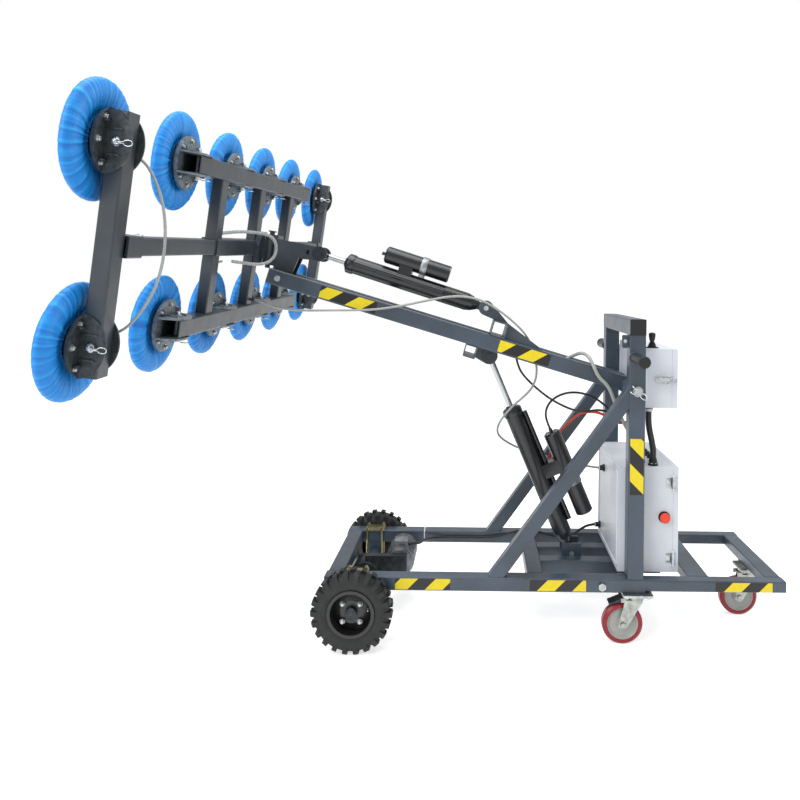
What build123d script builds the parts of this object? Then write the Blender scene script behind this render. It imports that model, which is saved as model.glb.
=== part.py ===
from build123d import *
import os
from math import cos, hypot, pi, radians, sin, tan

# Glass panel lifter: a wheeled chassis with a mast and a powered boom that carries twelve vacuum cups.
# Millimetres. +X runs from the cups to the operator's end, +Y is the far side, +Z is up, 0 is the ground.

# General tube stock and fits
TUBE = 60.0
TUBE_WALL = 4.0
TUBE_CORNER = 5.0
RUNNING_FIT = 0.05
BODY_GAP = 0.3
PLATE = 8.0

# Chassis
CHASSIS_WIDTH = 570.0
RAIL_HEIGHT = 50.0
RAIL_TOP = 244.0
RAIL_FRONT_X = -551.0
RAIL_REAR_X = 630.0
BEARER_TUBE_X = 197.0
BEARER_END_X = 563.0
BEARER_SPACING = 152.0
SHELF_REAR_X = 700.0

# Sliding rear frame
REAR_TUBE_WIDTH = 51.0
REAR_TUBE_HEIGHT = 41.0
REAR_TUBE_WALL = 3.0
REAR_INNER_X = 250.0
REAR_END_X = 1151.0
REAR_MIDDLE_X = 800.0
REAR_MIDDLE_LENGTH = 80.0
LOCK_BOLT_X = 470.0
LOCK_BOLT_RADIUS = 8.0

# Mast
POST_X = 563.0
MAST_TOP = 1204.0
BRACE = 50.0
BRACE_FOOT_X = 49.0
BRACE_ANGLE = 54.2
BOOM_PIVOT_X = 592.0
BOOM_PIVOT_Z = 938.0
BOOM_PIN_RADIUS = 15.0
GRIP_X = 582.0
GRIP_Z = 1061.0
GRIP_LENGTH = 160.0
GRIP_RADIUS = 20.0

# Boom
BOOM_GAP = 84.0
BOOM_SLOPE = 16.27
BOOM_LENGTH = 1482.0
TILT_PIVOT_BACK = 47.0
TILT_PIN_RADIUS = 12.0
UNDER_TUBE = 50.0
UNDER_TUBE_X = -37.0
SADDLE_TUBE_X = 39.0
BOOM_SPACERS = (440.0, 1012.0)
SPACER_TUBE = 40.0

# Linear actuators, both of one kind
RAM_TUBE_RADIUS = 36.0
RAM_ROD_RADIUS = 12.0
RAM_MOTOR_RADIUS = 36.0
RAM_CASE_LENGTH = 56.0
CASE_SHARE = 0.54
RAM_PIN_RADIUS = 10.0
RAM_EYE_RADIUS = 22.0
RAM_EYE_WIDTH = 34.0
RAM_OVERLAP = 30.0
LIFT_TRAVEL = 150.0
TILT_TRAVEL = 48.0
LIFT_BASE = (388.0, 250.0)
LIFT_EYE = (48.0, 1039.0)
LIFT_TUBE_LENGTH = 628.0
LIFT_MOTOR_START = 120.0
LIFT_MOTOR_LENGTH = 352.0
LIFT_MOTOR_OFFSET = 114.0
LIFT_SENSOR_TURN = 0.0
TILT_BASE = (34.0, 1231.0)
TILT_TUBE_LENGTH = 596.0
TILT_MOTOR_START = 183.0
TILT_MOTOR_LENGTH = 272.0
TILT_MOTOR_OFFSET = 82.0
TILT_SENSOR_TURN = 78.0
EYE_SLACK = 13.0

# Lever that tilts the head, drawn level about the tilt pivot and then turned
HEAD_TILT = 8.1
HEAD_SWING = -0.9
HEAD_ROLL = 3.1
LEVER_ROD = (131.0, 121.0)
LEVER_FRONT_X = -43.0
HUB_AXIS_Z = 108.0
SWING_AXIS_X = -80.0
SWING_PIN_RADIUS = 10.0
SWING_ARM_RADIUS = 22.0

# Head, drawn about its rotation axis: x points to the machine, y along the bars, z up the uprights
SWING_TO_CUPS = 145.0
BAR_FACE = 40.0
BAR_LENGTH = 1340.0
ROW_HEIGHT = 264.0
UPRIGHT_DEPTH = 40.0
UPRIGHT_PITCH = 417.0
CENTRE_BEAM_LENGTH = 894.0
CUP_PITCH = 417.0
END_CUP_Y = 1092.0
END_BAR_DEPTH = 50.0
END_BAR_LENGTH = 690.0
ARM_TUBE = 51.0
ARM_INNER_Y = 180.0
ARM_SOCKET = 80.0
TURNTABLE_RADIUS = 68.0
TURNTABLE_THICK = 10.0
TURN_SHAFT_RADIUS = 18.0

# Vacuum cups
CUP_RADIUS = 150.0
CUP_LIP = -12.0
CUP_CAVITY_RADIUS = 116.0
CUP_CAVITY_DEPTH = 10.0
CUP_WEB_TOP = 6.0
COVER_THICK = 3.0
COVER_RADIUS = 158.0
HUB_RADIUS = 86.0
HUB_EDGE = 10.0
HUB_NECK_RADIUS = 56.0
CUP_PIN_RADIUS = 6.0
EAR_THICK = 6.0
EAR_REACH = 68.0

# Front drive axle
AXLE_X = -440.0
WHEEL_RADIUS = 146.0
TYRE_WIDTH = 84.0
WHEEL_CENTRE_Y = 342.0
AXLE_SHAFT_RADIUS = 15.0
AXLE_BEAM_RADIUS = 24.0
RIM_RADIUS = 77.0
LUG_COUNT = 22
MOTOR_X = -305.0
MOTOR_RADIUS = 58.0
MOTOR_LENGTH = 190.0
FIN_COUNT = 11
U_BOLT_RADIUS = 4.0

# Castors
CASTOR_TOP = 194.0
CASTOR_WHEEL_RADIUS = 75.0
CASTOR_WHEEL_WIDTH = 40.0
CASTOR_TRAIL = 50.0
CASTOR_PLATE = 110.0
CASTOR_PLATE_THICK = 8.0
CASTOR_HOLE_PITCH = 80.0
MIDDLE_CASTOR_X = 600.0
REAR_CASTOR_X = 1121.0
CASTOR_STEM_RADIUS = 9.0
BRAKE_Z = 166.0
BRAKE_PIN_RADIUS = 3.0

# Lower cabinet and upper control box
CABINET_X = (538.0, 745.0)
CABINET_Z = (250.0, 645.0)
CABINET_HALF_WIDTH = 222.0
SHEET = 2.0
DOOR_DEPTH = 20.0
DOOR_SEAT = 0.6
DOOR_HINGE_RADIUS = 7.0
HINGE_PIN_RADIUS = 2.5
DOOR_HINGES_Z = (303.0, 587.0)
STOP_X = 712.0
STOP_Z = 457.0
STOP_RADIUS = 19.0
BOX_X = (626.0, 734.0)
BOX_Z = (869.0, 1091.0)
BOX_HALF_WIDTH = 230.0
LID_DEPTH = 20.0
LATCH_Z = 975.0
JOYSTICK_X = 669.0
JOYSTICK_Y = -180.0
JOYSTICK_HEIGHT = 52.0
JOYSTICK_SUNK = 4.0
JOYSTICK_RADIUS = 5.0
LATCH_BACK = 14.0
LATCH_PIN_RADIUS = 2.5
LID_HINGE_INSET = 45.0

# Hoses, cables and the ports that they leave from
ARC_SHARE = 0.45
PORT_LENGTH = 16.0
CUP_HOSE = 8.0
LOOP_HOSE = 12.0
SENSE_HOSE = 9.0
AIR_HOSE = 14.0
MOTOR_CABLE = 9.0
POWER_CABLE = 11.0
BUNDLE = 24.0
END_PORT_Y = 55.0
END_PORT_Z = 245.0
HEAD_PORT = (90.0, 15.0, -215.0)
LOOP_PORT = (70.0, -387.0, 48.0)
BAR_PORT = (68.0, -371.0, -234.0)
GLAND_LENGTH = 24.0
BUNDLE_GLAND = (675.0, -190.0, 14.0)
AIR_GLAND = (640.0, -150.0, 11.0)
FRONT_GLANDS = ((80.0, 566.0), (170.0, 300.0))
BOX_GLAND_X = 654.0
BUNDLE_TOP_Y = -200.0
BOX_GLANDS_Y = (-60.0, 0.0, 60.0)

HALF = CHASSIS_WIDTH / 2
RAIL_Y = HALF - TUBE / 2
POST_INNER_Y = HALF - TUBE
RAIL_BOTTOM = RAIL_TOP - RAIL_HEIGHT
RAIL_MIDDLE_Z = RAIL_TOP - RAIL_HEIGHT / 2
BEARER_Y = BEARER_SPACING / 2
TILT_PIVOT_ALONG = BOOM_LENGTH - TILT_PIVOT_BACK
LUG_OUTER_Y = RAM_EYE_WIDTH / 2 + BODY_GAP + PLATE


def block(x_range, y_range, z_range):
    """A plain block between two corners."""
    (x0, x1), (y0, y1), (z0, z1) = x_range, y_range, z_range
    return Pos((x0 + x1) / 2, (y0 + y1) / 2, (z0 + z1) / 2) * Box(x1 - x0, y1 - y0, z1 - z0)


def box_tube(start, end, across, width, height, wall=TUBE_WALL):
    """A hollow rectangular tube from start to end, its width along the direction across."""
    run = Vector(*end) - Vector(*start)
    plane = Plane(origin=start, x_dir=across, z_dir=run)
    inner_corner = max(TUBE_CORNER - wall, 0.8)
    section = RectangleRounded(width, height, TUBE_CORNER)
    section -= RectangleRounded(width - 2 * wall, height - 2 * wall, inner_corner)
    return extrude(plane * section, run.length)


def rod(start, end, radius, bore=0.0):
    """A round bar or pipe from start to end."""
    run = Vector(*end) - Vector(*start)
    plane = Plane(origin=start, z_dir=run)
    section = Circle(radius)
    if bore > 0:
        section -= Circle(bore)
    return extrude(plane * section, run.length)


def plate_xz(outline, y0, y1):
    """A flat plate cut from a sketch in the side view, between two depths."""
    plane = Plane(origin=(0, y1, 0), x_dir=(1, 0, 0), z_dir=(0, -1, 0))
    return extrude(plane * outline, y1 - y0)


def hex_head(start, end, radius):
    """A bolt head or nut from start to end, with its across-corners radius."""
    run = Vector(*end) - Vector(*start)
    return extrude(Plane(origin=start, z_dir=run) * RegularPolygon(radius, 6), run.length)


def both_sides(make):
    """The same pieces on the near side, -1, and the far side, 1."""
    return make(-1) + make(1)


def ring_profile(points):
    """A turned solid about the X axis from (x, radius) points of its half section."""
    face = make_face(Polyline(*[(x, r) for x, r in points], close=True))
    return revolve(face, Axis.X)


# Chassis

def chassis_frame():
    """Two rails, the front cross tube, a cross tube with two bearers, and the cabinet shelf."""
    pieces = []
    for side in (-1, 1):
        pieces.append(box_tube((RAIL_FRONT_X, side * RAIL_Y, RAIL_MIDDLE_Z),
                               (RAIL_REAR_X, side * RAIL_Y, RAIL_MIDDLE_Z), (0, 1, 0), TUBE, RAIL_HEIGHT))
        bearer_start = BEARER_TUBE_X + TUBE
        pieces.append(box_tube((bearer_start, side * BEARER_Y, RAIL_MIDDLE_Z),
                               (BEARER_END_X, side * BEARER_Y, RAIL_MIDDLE_Z), (0, 1, 0), TUBE, RAIL_HEIGHT))
    for middle_x in (RAIL_FRONT_X + TUBE / 2, BEARER_TUBE_X + TUBE / 2, BEARER_END_X + TUBE / 2):
        pieces.append(box_tube((middle_x, -POST_INNER_Y, RAIL_MIDDLE_Z),
                               (middle_x, POST_INNER_Y, RAIL_MIDDLE_Z), (1, 0, 0), TUBE, RAIL_HEIGHT))
    shelf = block((CABINET_X[0], SHELF_REAR_X), (-POST_INNER_Y + 5, POST_INNER_Y - 5),
                  (RAIL_TOP, CABINET_Z[0]))
    pieces.append(shelf)
    for side in (-1, 1):
        lug = Pos(LIFT_BASE[0], LIFT_BASE[1] + 6) * Rectangle(76, 72) + Pos(*LIFT_BASE) * Circle(32)
        lug -= Pos(*LIFT_BASE) * Circle(RAM_PIN_RADIUS + RUNNING_FIT)
        inner = BEARER_Y - TUBE / 2
        y0, y1 = sorted((side * inner, side * (inner - PLATE)))
        pieces.append(plate_xz(lug, y0, y1))
    lock = rod((LOCK_BOLT_X, -HALF - 1, RAIL_MIDDLE_Z - 1), (LOCK_BOLT_X, -HALF + TUBE_WALL + 1, RAIL_MIDDLE_Z - 1),
               LOCK_BOLT_RADIUS)
    pieces[0] -= lock
    pieces[2] -= mirror(lock, Plane.XZ)
    return pieces


def mast_frame():
    """Two posts, the tube across their tops and a lifting lug on the near post."""
    pieces = []
    pin_hole = rod((BOOM_PIVOT_X, -HALF - 1, BOOM_PIVOT_Z), (BOOM_PIVOT_X, HALF + 1, BOOM_PIVOT_Z),
                   BOOM_PIN_RADIUS + RUNNING_FIT)
    middle_x = POST_X + TUBE / 2
    for side in (-1, 1):
        post = box_tube((middle_x, side * RAIL_Y, RAIL_TOP), (middle_x, side * RAIL_Y, MAST_TOP - TUBE),
                        (1, 0, 0), TUBE, TUBE)
        pieces.append(post - pin_hole)
    pieces.append(box_tube((middle_x, -HALF, MAST_TOP - TUBE / 2), (middle_x, HALF, MAST_TOP - TUBE / 2),
                           (1, 0, 0), TUBE, TUBE))
    lug = Pos(POST_X - 12, MAST_TOP - 84) * RectangleRounded(24, 48, 6)
    lug -= Pos(POST_X - 12, MAST_TOP - 84) * Circle(7)
    lug = plate_xz(lug, -RAIL_Y - PLATE / 2, -RAIL_Y + PLATE / 2)
    pieces.append(lug & block((0, POST_X), (-HALF, 0), (0, MAST_TOP)))
    return pieces


def mast_braces():
    """A sloping tube each side from the rail to the front of the post."""
    slope = radians(BRACE_ANGLE)
    foot_width = BRACE / sin(slope)
    foot = Vector(BRACE_FOOT_X + foot_width / 2, 0, RAIL_TOP)
    along = Vector(cos(slope), 0, sin(slope))
    room = block((BRACE_FOOT_X - 100, POST_X), (-HALF, HALF), (RAIL_TOP, MAST_TOP))

    def one(side):
        start = foot - along * 120 + Vector(0, side * RAIL_Y, 0)
        end = foot + along * 960 + Vector(0, side * RAIL_Y, 0)
        return [box_tube(start, end, (0, 1, 0), BRACE, BRACE) & room]

    return both_sides(one)


def tube_end_caps():
    """Black plugs in the open ends of the mast's top tube and of the rails at the front."""
    pieces = []
    middle_x = POST_X + TUBE / 2
    inside = TUBE - 2 * TUBE_WALL - 2 * BODY_GAP
    for side in (-1, 1):
        plug = Pos(middle_x, side * (HALF + 2), MAST_TOP - TUBE / 2) * Box(TUBE - 2, 4, TUBE - 2)
        plug += Pos(middle_x, side * (HALF - 8), MAST_TOP - TUBE / 2) * Box(inside, 16, inside)
        pieces.append(plug)
        rail = Pos(RAIL_FRONT_X - 2, side * RAIL_Y, RAIL_MIDDLE_Z) * Box(4, TUBE - 2, RAIL_HEIGHT - 2)
        rail += Pos(RAIL_FRONT_X + 8, side * RAIL_Y, RAIL_MIDDLE_Z) * Box(16, inside, inside - TUBE + RAIL_HEIGHT)
        pieces.append(rail)
    return pieces


def mast_pins():
    """The boom's pivot pin across both posts, and the lift actuator's base pin between its lugs."""
    head = HALF + 8
    pivot = rod((BOOM_PIVOT_X, -head - 14, BOOM_PIVOT_Z), (BOOM_PIVOT_X, head, BOOM_PIVOT_Z), BOOM_PIN_RADIUS)
    pivot += rod((BOOM_PIVOT_X, HALF, BOOM_PIVOT_Z), (BOOM_PIVOT_X, head, BOOM_PIVOT_Z), BOOM_PIN_RADIUS + 7)
    reach = BEARER_Y - TUBE / 2
    base = rod((LIFT_BASE[0], -reach, LIFT_BASE[1]), (LIFT_BASE[0], reach, LIFT_BASE[1]), RAM_PIN_RADIUS)
    return [pivot, base]


def side_grips():
    """A round grip standing out from each post."""
    def one(side):
        start = (GRIP_X, side * HALF, GRIP_Z)
        end = (GRIP_X, side * (HALF + GRIP_LENGTH), GRIP_Z)
        grip = rod(start, end, GRIP_RADIUS)
        return [fillet(grip.edges().filter_by(GeomType.CIRCLE).sort_by(Axis.Y)[0 if side < 0 else -1], 6)]

    return both_sides(one)


def rail_hardware():
    """Screws that lock the sliding frame, and the two middle castors' top plates."""
    pieces = []
    tube_face = POST_INNER_Y + (TUBE + REAR_TUBE_WIDTH) / 2
    for side in (-1, 1):
        z = RAIL_MIDDLE_Z - 1
        bolt = rod((LOCK_BOLT_X, side * (tube_face + BODY_GAP), z), (LOCK_BOLT_X, side * HALF, z), LOCK_BOLT_RADIUS)
        bolt += hex_head((LOCK_BOLT_X, side * HALF, z), (LOCK_BOLT_X, side * (HALF + 10), z), 15)
        pieces.append(bolt)
        pieces.append(castor_plate(MIDDLE_CASTOR_X, side * RAIL_Y))
        pieces += castor_bolts(MIDDLE_CASTOR_X, side * RAIL_Y)
    return pieces


# Sliding rear frame

def rear_frame():
    """Two tubes that slide inside the rails, with an end cross tube and a middle one."""
    z = RAIL_BOTTOM + TUBE_WALL + (RAIL_HEIGHT - 2 * TUBE_WALL) / 2
    pieces = []
    for side in (-1, 1):
        pieces.append(box_tube((REAR_INNER_X, side * RAIL_Y, z), (REAR_END_X, side * RAIL_Y, z), (0, 1, 0),
                               REAR_TUBE_WIDTH, REAR_TUBE_HEIGHT, REAR_TUBE_WALL))
    inner = RAIL_Y - REAR_TUBE_WIDTH / 2
    for x0, length in ((REAR_MIDDLE_X, REAR_MIDDLE_LENGTH), (REAR_END_X - TUBE, TUBE)):
        middle = x0 + length / 2
        pieces.append(box_tube((middle, -inner, z), (middle, inner, z), (1, 0, 0), length,
                               REAR_TUBE_HEIGHT, REAR_TUBE_WALL))
    return pieces


def rear_castor_plate():
    """A spacer and the rear castor's top plate under the end cross tube."""
    tube_bottom = RAIL_MIDDLE_Z - REAR_TUBE_HEIGHT / 2
    spacer = block((REAR_CASTOR_X - TUBE / 2, REAR_CASTOR_X + TUBE / 2), (-55, 55), (CASTOR_TOP, tube_bottom))
    return [spacer, castor_plate(REAR_CASTOR_X, 0)] + castor_bolts(REAR_CASTOR_X, 0)


# Castors

def castor_plate(x, y):
    """The square top plate with four holes, and the bearing boss under it."""
    z0 = CASTOR_TOP - CASTOR_PLATE_THICK
    plate = Pos(x, y, CASTOR_TOP - CASTOR_PLATE_THICK / 2) * Box(CASTOR_PLATE, CASTOR_PLATE, CASTOR_PLATE_THICK)
    plate = fillet(plate.edges().filter_by(Axis.Z), 8)
    for sx in (-1, 1):
        for sy in (-1, 1):
            hole = Pos(x + sx * CASTOR_HOLE_PITCH / 2, y + sy * CASTOR_HOLE_PITCH / 2, z0 + 4)
            plate -= hole * Cylinder(5.5, 30)
    boss = Pos(x, y, z0 - 5) * Cylinder(30, 10)
    stem = Pos(x, y, z0 - 10 - 9) * Cylinder(CASTOR_STEM_RADIUS, 18)
    return plate + boss + stem


def castor_bolts(x, y):
    """The heads of the two bolts that show beside the rail."""
    z0 = CASTOR_TOP - CASTOR_PLATE_THICK
    pieces = []
    for sx in (-1, 1):
        for sy in (-1, 1):
            px, py = x + sx * CASTOR_HOLE_PITCH / 2, y + sy * CASTOR_HOLE_PITCH / 2
            pieces.append(hex_head((px, py, z0), (px, py, z0 - 6.5), 9.5))
    return pieces


def castor_fork(x, y):
    """The swivel housing with two cheeks that trail to the wheel's axle, and the axle bolt."""
    top = CASTOR_TOP - CASTOR_PLATE_THICK - 10 - BODY_GAP
    wheel_x = x - CASTOR_TRAIL
    crown = Pos(x, y, top - 5) * Cylinder(31, 10)
    crown -= Pos(x, y, top - 5) * Cylinder(CASTOR_STEM_RADIUS + RUNNING_FIT, 40)
    cheek_gap = CASTOR_WHEEL_WIDTH / 2 + 3
    crown += block((x - 44, x + 22), (y - cheek_gap - 4, y + cheek_gap + 4), (top - 14, top - 10))
    crown -= Pos(x, y, top - 10) * Cylinder(CASTOR_STEM_RADIUS + RUNNING_FIT, 30)
    outline = make_hull((Pos(wheel_x, CASTOR_WHEEL_RADIUS) * Circle(17)).edges()
                        + (Pos(x - 11, top - 13) * Rectangle(66, 2)).edges())
    fork = crown
    for side in (-1, 1):
        y0, y1 = sorted((y + side * cheek_gap, y + side * (cheek_gap + 4)))
        fork += plate_xz(outline, y0, y1)
        fork += block((x - CASTOR_TRAIL - 9, x - 40), (y0, y1), (top - 18, top - 3))
    fork += rod((x - CASTOR_TRAIL - 2, y - cheek_gap, BRAKE_Z), (x - CASTOR_TRAIL - 2, y + cheek_gap, BRAKE_Z),
                BRAKE_PIN_RADIUS)
    axle = rod((wheel_x, y - cheek_gap - 10, CASTOR_WHEEL_RADIUS), (wheel_x, y + cheek_gap + 10, CASTOR_WHEEL_RADIUS), 6)
    heads = [hex_head((wheel_x, y + s * (cheek_gap + 4), CASTOR_WHEEL_RADIUS),
                      (wheel_x, y + s * (cheek_gap + 11), CASTOR_WHEEL_RADIUS), 10) for s in (-1, 1)]
    return [fork + axle + heads[0] + heads[1]]


def castor_wheel(x, y):
    """The tread, web and hub of a castor wheel, turned in one."""
    wheel_x = x - CASTOR_TRAIL
    half = CASTOR_WHEEL_WIDTH / 2
    r = CASTOR_WHEEL_RADIUS
    section = Polyline((-half - 2, 6 + RUNNING_FIT), (half + 2, 6 + RUNNING_FIT), (half + 2, 22), (9, 24), (9, 48),
                       (half - 3, 56), (half - 2, r - 7), (half - 8, r), (-half + 8, r), (-half + 2, r - 7),
                       (-half + 3, 56), (-9, 48), (-9, 24), (-half - 2, 22), close=True)
    wheel = revolve(make_face(section), Axis.X)
    return [Pos(wheel_x, y, r) * Rot(0, 0, 90) * wheel]


def castor_brake(x, y):
    """A bent pedal hinged over the wheel at the trailing side."""
    pivot_x, pivot_z = x - CASTOR_TRAIL - 2, BRAKE_Z
    outline = make_hull((Pos(pivot_x, pivot_z) * Circle(6)).edges()
                        + (Pos(pivot_x - 48, pivot_z - 16) * Circle(3)).edges())
    half = CASTOR_WHEEL_WIDTH / 2 + 2
    pedal = plate_xz(outline, y - half, y + half)
    pedal -= rod((pivot_x, y - 40, pivot_z), (pivot_x, y + 40, pivot_z), BRAKE_PIN_RADIUS + RUNNING_FIT)
    return [pedal]


# Front drive axle

def axle_beam():
    """The axle housing across the frame and its two saddle blocks under the rails."""
    reach = WHEEL_CENTRE_Y - 40
    beam = rod((AXLE_X, -reach, WHEEL_RADIUS), (AXLE_X, reach, WHEEL_RADIUS), AXLE_BEAM_RADIUS,
               AXLE_SHAFT_RADIUS + RUNNING_FIT)
    for side in (-1, 1):
        saddle = block((AXLE_X - 26, AXLE_X + 26), (side * RAIL_Y - 26, side * RAIL_Y + 26),
                       (WHEEL_RADIUS, RAIL_BOTTOM))
        saddle -= rod((AXLE_X, side * RAIL_Y - 40, WHEEL_RADIUS), (AXLE_X, side * RAIL_Y + 40, WHEEL_RADIUS),
                      AXLE_BEAM_RADIUS - 2)
        beam += saddle
    return [beam]


def axle_clamps():
    """Two bolts and a zinc plate over each rail, and a plate under the axle."""
    pieces = []
    low, high = WHEEL_RADIUS - 40, RAIL_TOP + 16
    for side in (-1, 1):
        y = side * RAIL_Y
        top = block((AXLE_X - 42, AXLE_X + 42), (y - 42, y + 42), (RAIL_TOP, RAIL_TOP + 5))
        bottom = block((AXLE_X - 42, AXLE_X + 42), (y - 42, y + 42), (WHEEL_RADIUS - 29, WHEEL_RADIUS - 24))
        clamp = top + bottom
        for sx in (-1, 1):
            for sy in (-1, 1):
                px, py = AXLE_X + sx * 32, y + sy * (TUBE / 2 + U_BOLT_RADIUS + 0.5)
                clamp += rod((px, py, low), (px, py, high), U_BOLT_RADIUS)
                clamp += hex_head((px, py, RAIL_TOP + 5), (px, py, RAIL_TOP + 12), 7.4)
                clamp += hex_head((px, py, WHEEL_RADIUS - 29), (px, py, WHEEL_RADIUS - 36), 7.4)
        pieces.append(clamp)
    return pieces


def drive_gearbox():
    """The gear housing round the axle, with its neck to the motor."""
    case = Pos(AXLE_X, 0, WHEEL_RADIUS) * Rot(90, 0, 0) * Cylinder(66, 108)
    case = fillet(case.edges().filter_by(GeomType.CIRCLE), 10)
    case += block((AXLE_X, MOTOR_X + 30), (-50, -16), (WHEEL_RADIUS - 38, WHEEL_RADIUS + 88))
    case -= rod((AXLE_X, -80, WHEEL_RADIUS), (AXLE_X, 80, WHEEL_RADIUS), AXLE_BEAM_RADIUS)
    return [case]


def drive_motor():
    """A finned motor beside the gearbox, lying along the axle, with a terminal box."""
    z = WHEEL_RADIUS + 50
    y0 = -16.0
    body = rod((MOTOR_X, y0, z), (MOTOR_X, y0 + MOTOR_LENGTH, z), MOTOR_RADIUS - 8)
    pitch = (MOTOR_LENGTH - 30) / (FIN_COUNT - 1)
    for i in range(FIN_COUNT):
        y = y0 + 12 + i * pitch
        body += rod((MOTOR_X, y, z), (MOTOR_X, y + 5, z), MOTOR_RADIUS)
    body += block((MOTOR_X - 26, MOTOR_X + 26), (y0 + 40, y0 + 100), (z + 30, z + MOTOR_RADIUS + 14))
    return [body]


def drive_rim(side):
    """A pressed wheel disc and rim with its hub, stub shaft and four wheel bolts."""
    half = TYRE_WIDTH / 2
    wall = 4.0
    r = RIM_RADIUS
    section = Polyline((-half + 4, r + 8), (-half + 4, r - wall), (4, r - wall - 4), (8, 60), (16, 40), (16, 22), (30, 20),
                       (30, 0), (-26, 0), (-26, 26), (8, 26), (8, 36), (0, 58), (-4, r - wall - 14),
                       (-half + 8, r - 2 * wall - 2), (-half, r - 2 * wall - 2), (-half, r + 8), close=True)
    disc = revolve(make_face(section), Axis.X)
    outer = Polyline((half, r + 8), (half, r - wall), (4, r - wall - 4), (-4, r - wall - 3.9), (-4, r - 0.5),
                     (half - 4, r), (half - 4, r + 8), close=True)
    disc += revolve(make_face(outer), Axis.X)
    for i in range(4):
        angle = radians(45 + 90 * i)
        centre = (12, 44 * cos(angle), 44 * sin(angle))
        disc += Pos(*centre) * Rot(0, 90, 0) * extrude(RegularPolygon(8, 6), 10)
    shaft = Pos(-71, 0, 0) * Rot(0, 90, 0) * Cylinder(AXLE_SHAFT_RADIUS, 94)
    disc += shaft
    turn = 90 * side
    return [Pos(AXLE_X, side * WHEEL_CENTRE_Y, WHEEL_RADIUS) * Rot(0, 0, turn) * disc]


def drive_tyre(side):
    """A pneumatic tyre with a rounded carcass and two rows of staggered lugs."""
    half = TYRE_WIDTH / 2
    deep = WHEEL_RADIUS - 9
    inner = RIM_RADIUS + BODY_GAP
    sketch = Line((-half + 9, inner), (half - 9, inner))
    sketch += Line((half - 9, inner), (half - 4, inner + 8))
    sketch += ThreePointArc((half - 4, inner + 8), (half, inner + 32), (half - 10, deep - 4))
    sketch += ThreePointArc((half - 10, deep - 4), (0, deep), (-half + 10, deep - 4))
    sketch += ThreePointArc((-half + 10, deep - 4), (-half, inner + 32), (-half + 4, inner + 8))
    sketch += Line((-half + 4, inner + 8), (-half + 9, inner))
    tyre = revolve(make_face(sketch), Axis.X)
    lug = Polyline((2, deep - 6), (half - 1, deep - 22), (half - 1, deep + 1), (half - 9, deep + 8.2), (2, deep + 8.8),
                   close=True)
    lug_solid = extrude(make_face(lug), 9, both=True)
    other = mirror(lug_solid, Plane.YZ)
    step = 360.0 / LUG_COUNT
    lugs = []
    for i in range(LUG_COUNT):
        lugs.append(Rot(i * step, 0, 0) * lug_solid)
        lugs.append(Rot((i + 0.5) * step, 0, 0) * other)
    tyre = tyre.fuse(*lugs)
    outer = Rot(0, 90, 0) * Cylinder(WHEEL_RADIUS, TYRE_WIDTH + 4)
    tyre = tyre & outer
    return [Pos(AXLE_X, side * WHEEL_CENTRE_Y, WHEEL_RADIUS) * Rot(0, 0, 90 * side) * tyre]


# Boom

def boom_point(along, above, y=0.0):
    """A point on the boom's side view: distance from the mast pivot, and height over its axis."""
    slope = radians(BOOM_SLOPE)
    x = BOOM_PIVOT_X - along * cos(slope) + above * sin(slope)
    z = BOOM_PIVOT_Z + along * sin(slope) + above * cos(slope)
    return (x, y, z)


def boom_frame():
    """Twin tubes with a pivot barrel, an under tube, a saddle tube and a nose spacer."""
    slope = radians(BOOM_SLOPE)
    twin_y = BOOM_GAP / 2 + TUBE / 2
    outer_y = BOOM_GAP / 2 + TUBE
    pieces = []
    barrel_cut = rod((BOOM_PIVOT_X, -HALF, BOOM_PIVOT_Z), (BOOM_PIVOT_X, HALF, BOOM_PIVOT_Z), 25)
    tilt_x, _, tilt_z = boom_point(TILT_PIVOT_ALONG, 0)
    tilt_hole = rod((tilt_x, -HALF, tilt_z), (tilt_x, HALF, tilt_z), TILT_PIN_RADIUS)
    room = rod((BOOM_PIVOT_X, -HALF, BOOM_PIVOT_Z), (BOOM_PIVOT_X, HALF, BOOM_PIVOT_Z), TUBE / 2)
    front = Plane(origin=(BOOM_PIVOT_X, 0, BOOM_PIVOT_Z), x_dir=(-cos(slope), 0, sin(slope)), z_dir=(0, -1, 0))
    room += extrude(front * (Pos(BOOM_LENGTH / 2, 0) * Rectangle(BOOM_LENGTH, TUBE + 4)), HALF, both=True)
    for side in (-1, 1):
        tube = box_tube(boom_point(-TUBE / 2, 0, side * twin_y), boom_point(BOOM_LENGTH, 0, side * twin_y),
                        (0, 1, 0), TUBE, TUBE)
        pieces.append((tube & room) - barrel_cut - tilt_hole)
    barrel = rod((BOOM_PIVOT_X, -POST_INNER_Y + BODY_GAP, BOOM_PIVOT_Z),
                 (BOOM_PIVOT_X, POST_INNER_Y - BODY_GAP, BOOM_PIVOT_Z), 25, BOOM_PIN_RADIUS + RUNNING_FIT)
    pieces.append(barrel)
    under_along = (BOOM_PIVOT_X - UNDER_TUBE_X - UNDER_TUBE / 2) / cos(slope)
    low = boom_point(under_along, -(TUBE + UNDER_TUBE) / 2)
    pieces.append(cross_tube(low, UNDER_TUBE, outer_y, slope))
    saddle_along = (BOOM_PIVOT_X - SADDLE_TUBE_X - TUBE / 2) / cos(slope)
    high = boom_point(saddle_along, TUBE)
    pieces.append(cross_tube(high, TUBE, outer_y, slope))
    for along in BOOM_SPACERS:
        spacer = boom_point(along, 0)
        pieces.append(box_tube((spacer[0], -BOOM_GAP / 2, spacer[2]), (spacer[0], BOOM_GAP / 2, spacer[2]),
                               (cos(slope), 0, -sin(slope)), SPACER_TUBE, SPACER_TUBE))
    return pieces + [spacer_port(True), spacer_port(False)]


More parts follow.
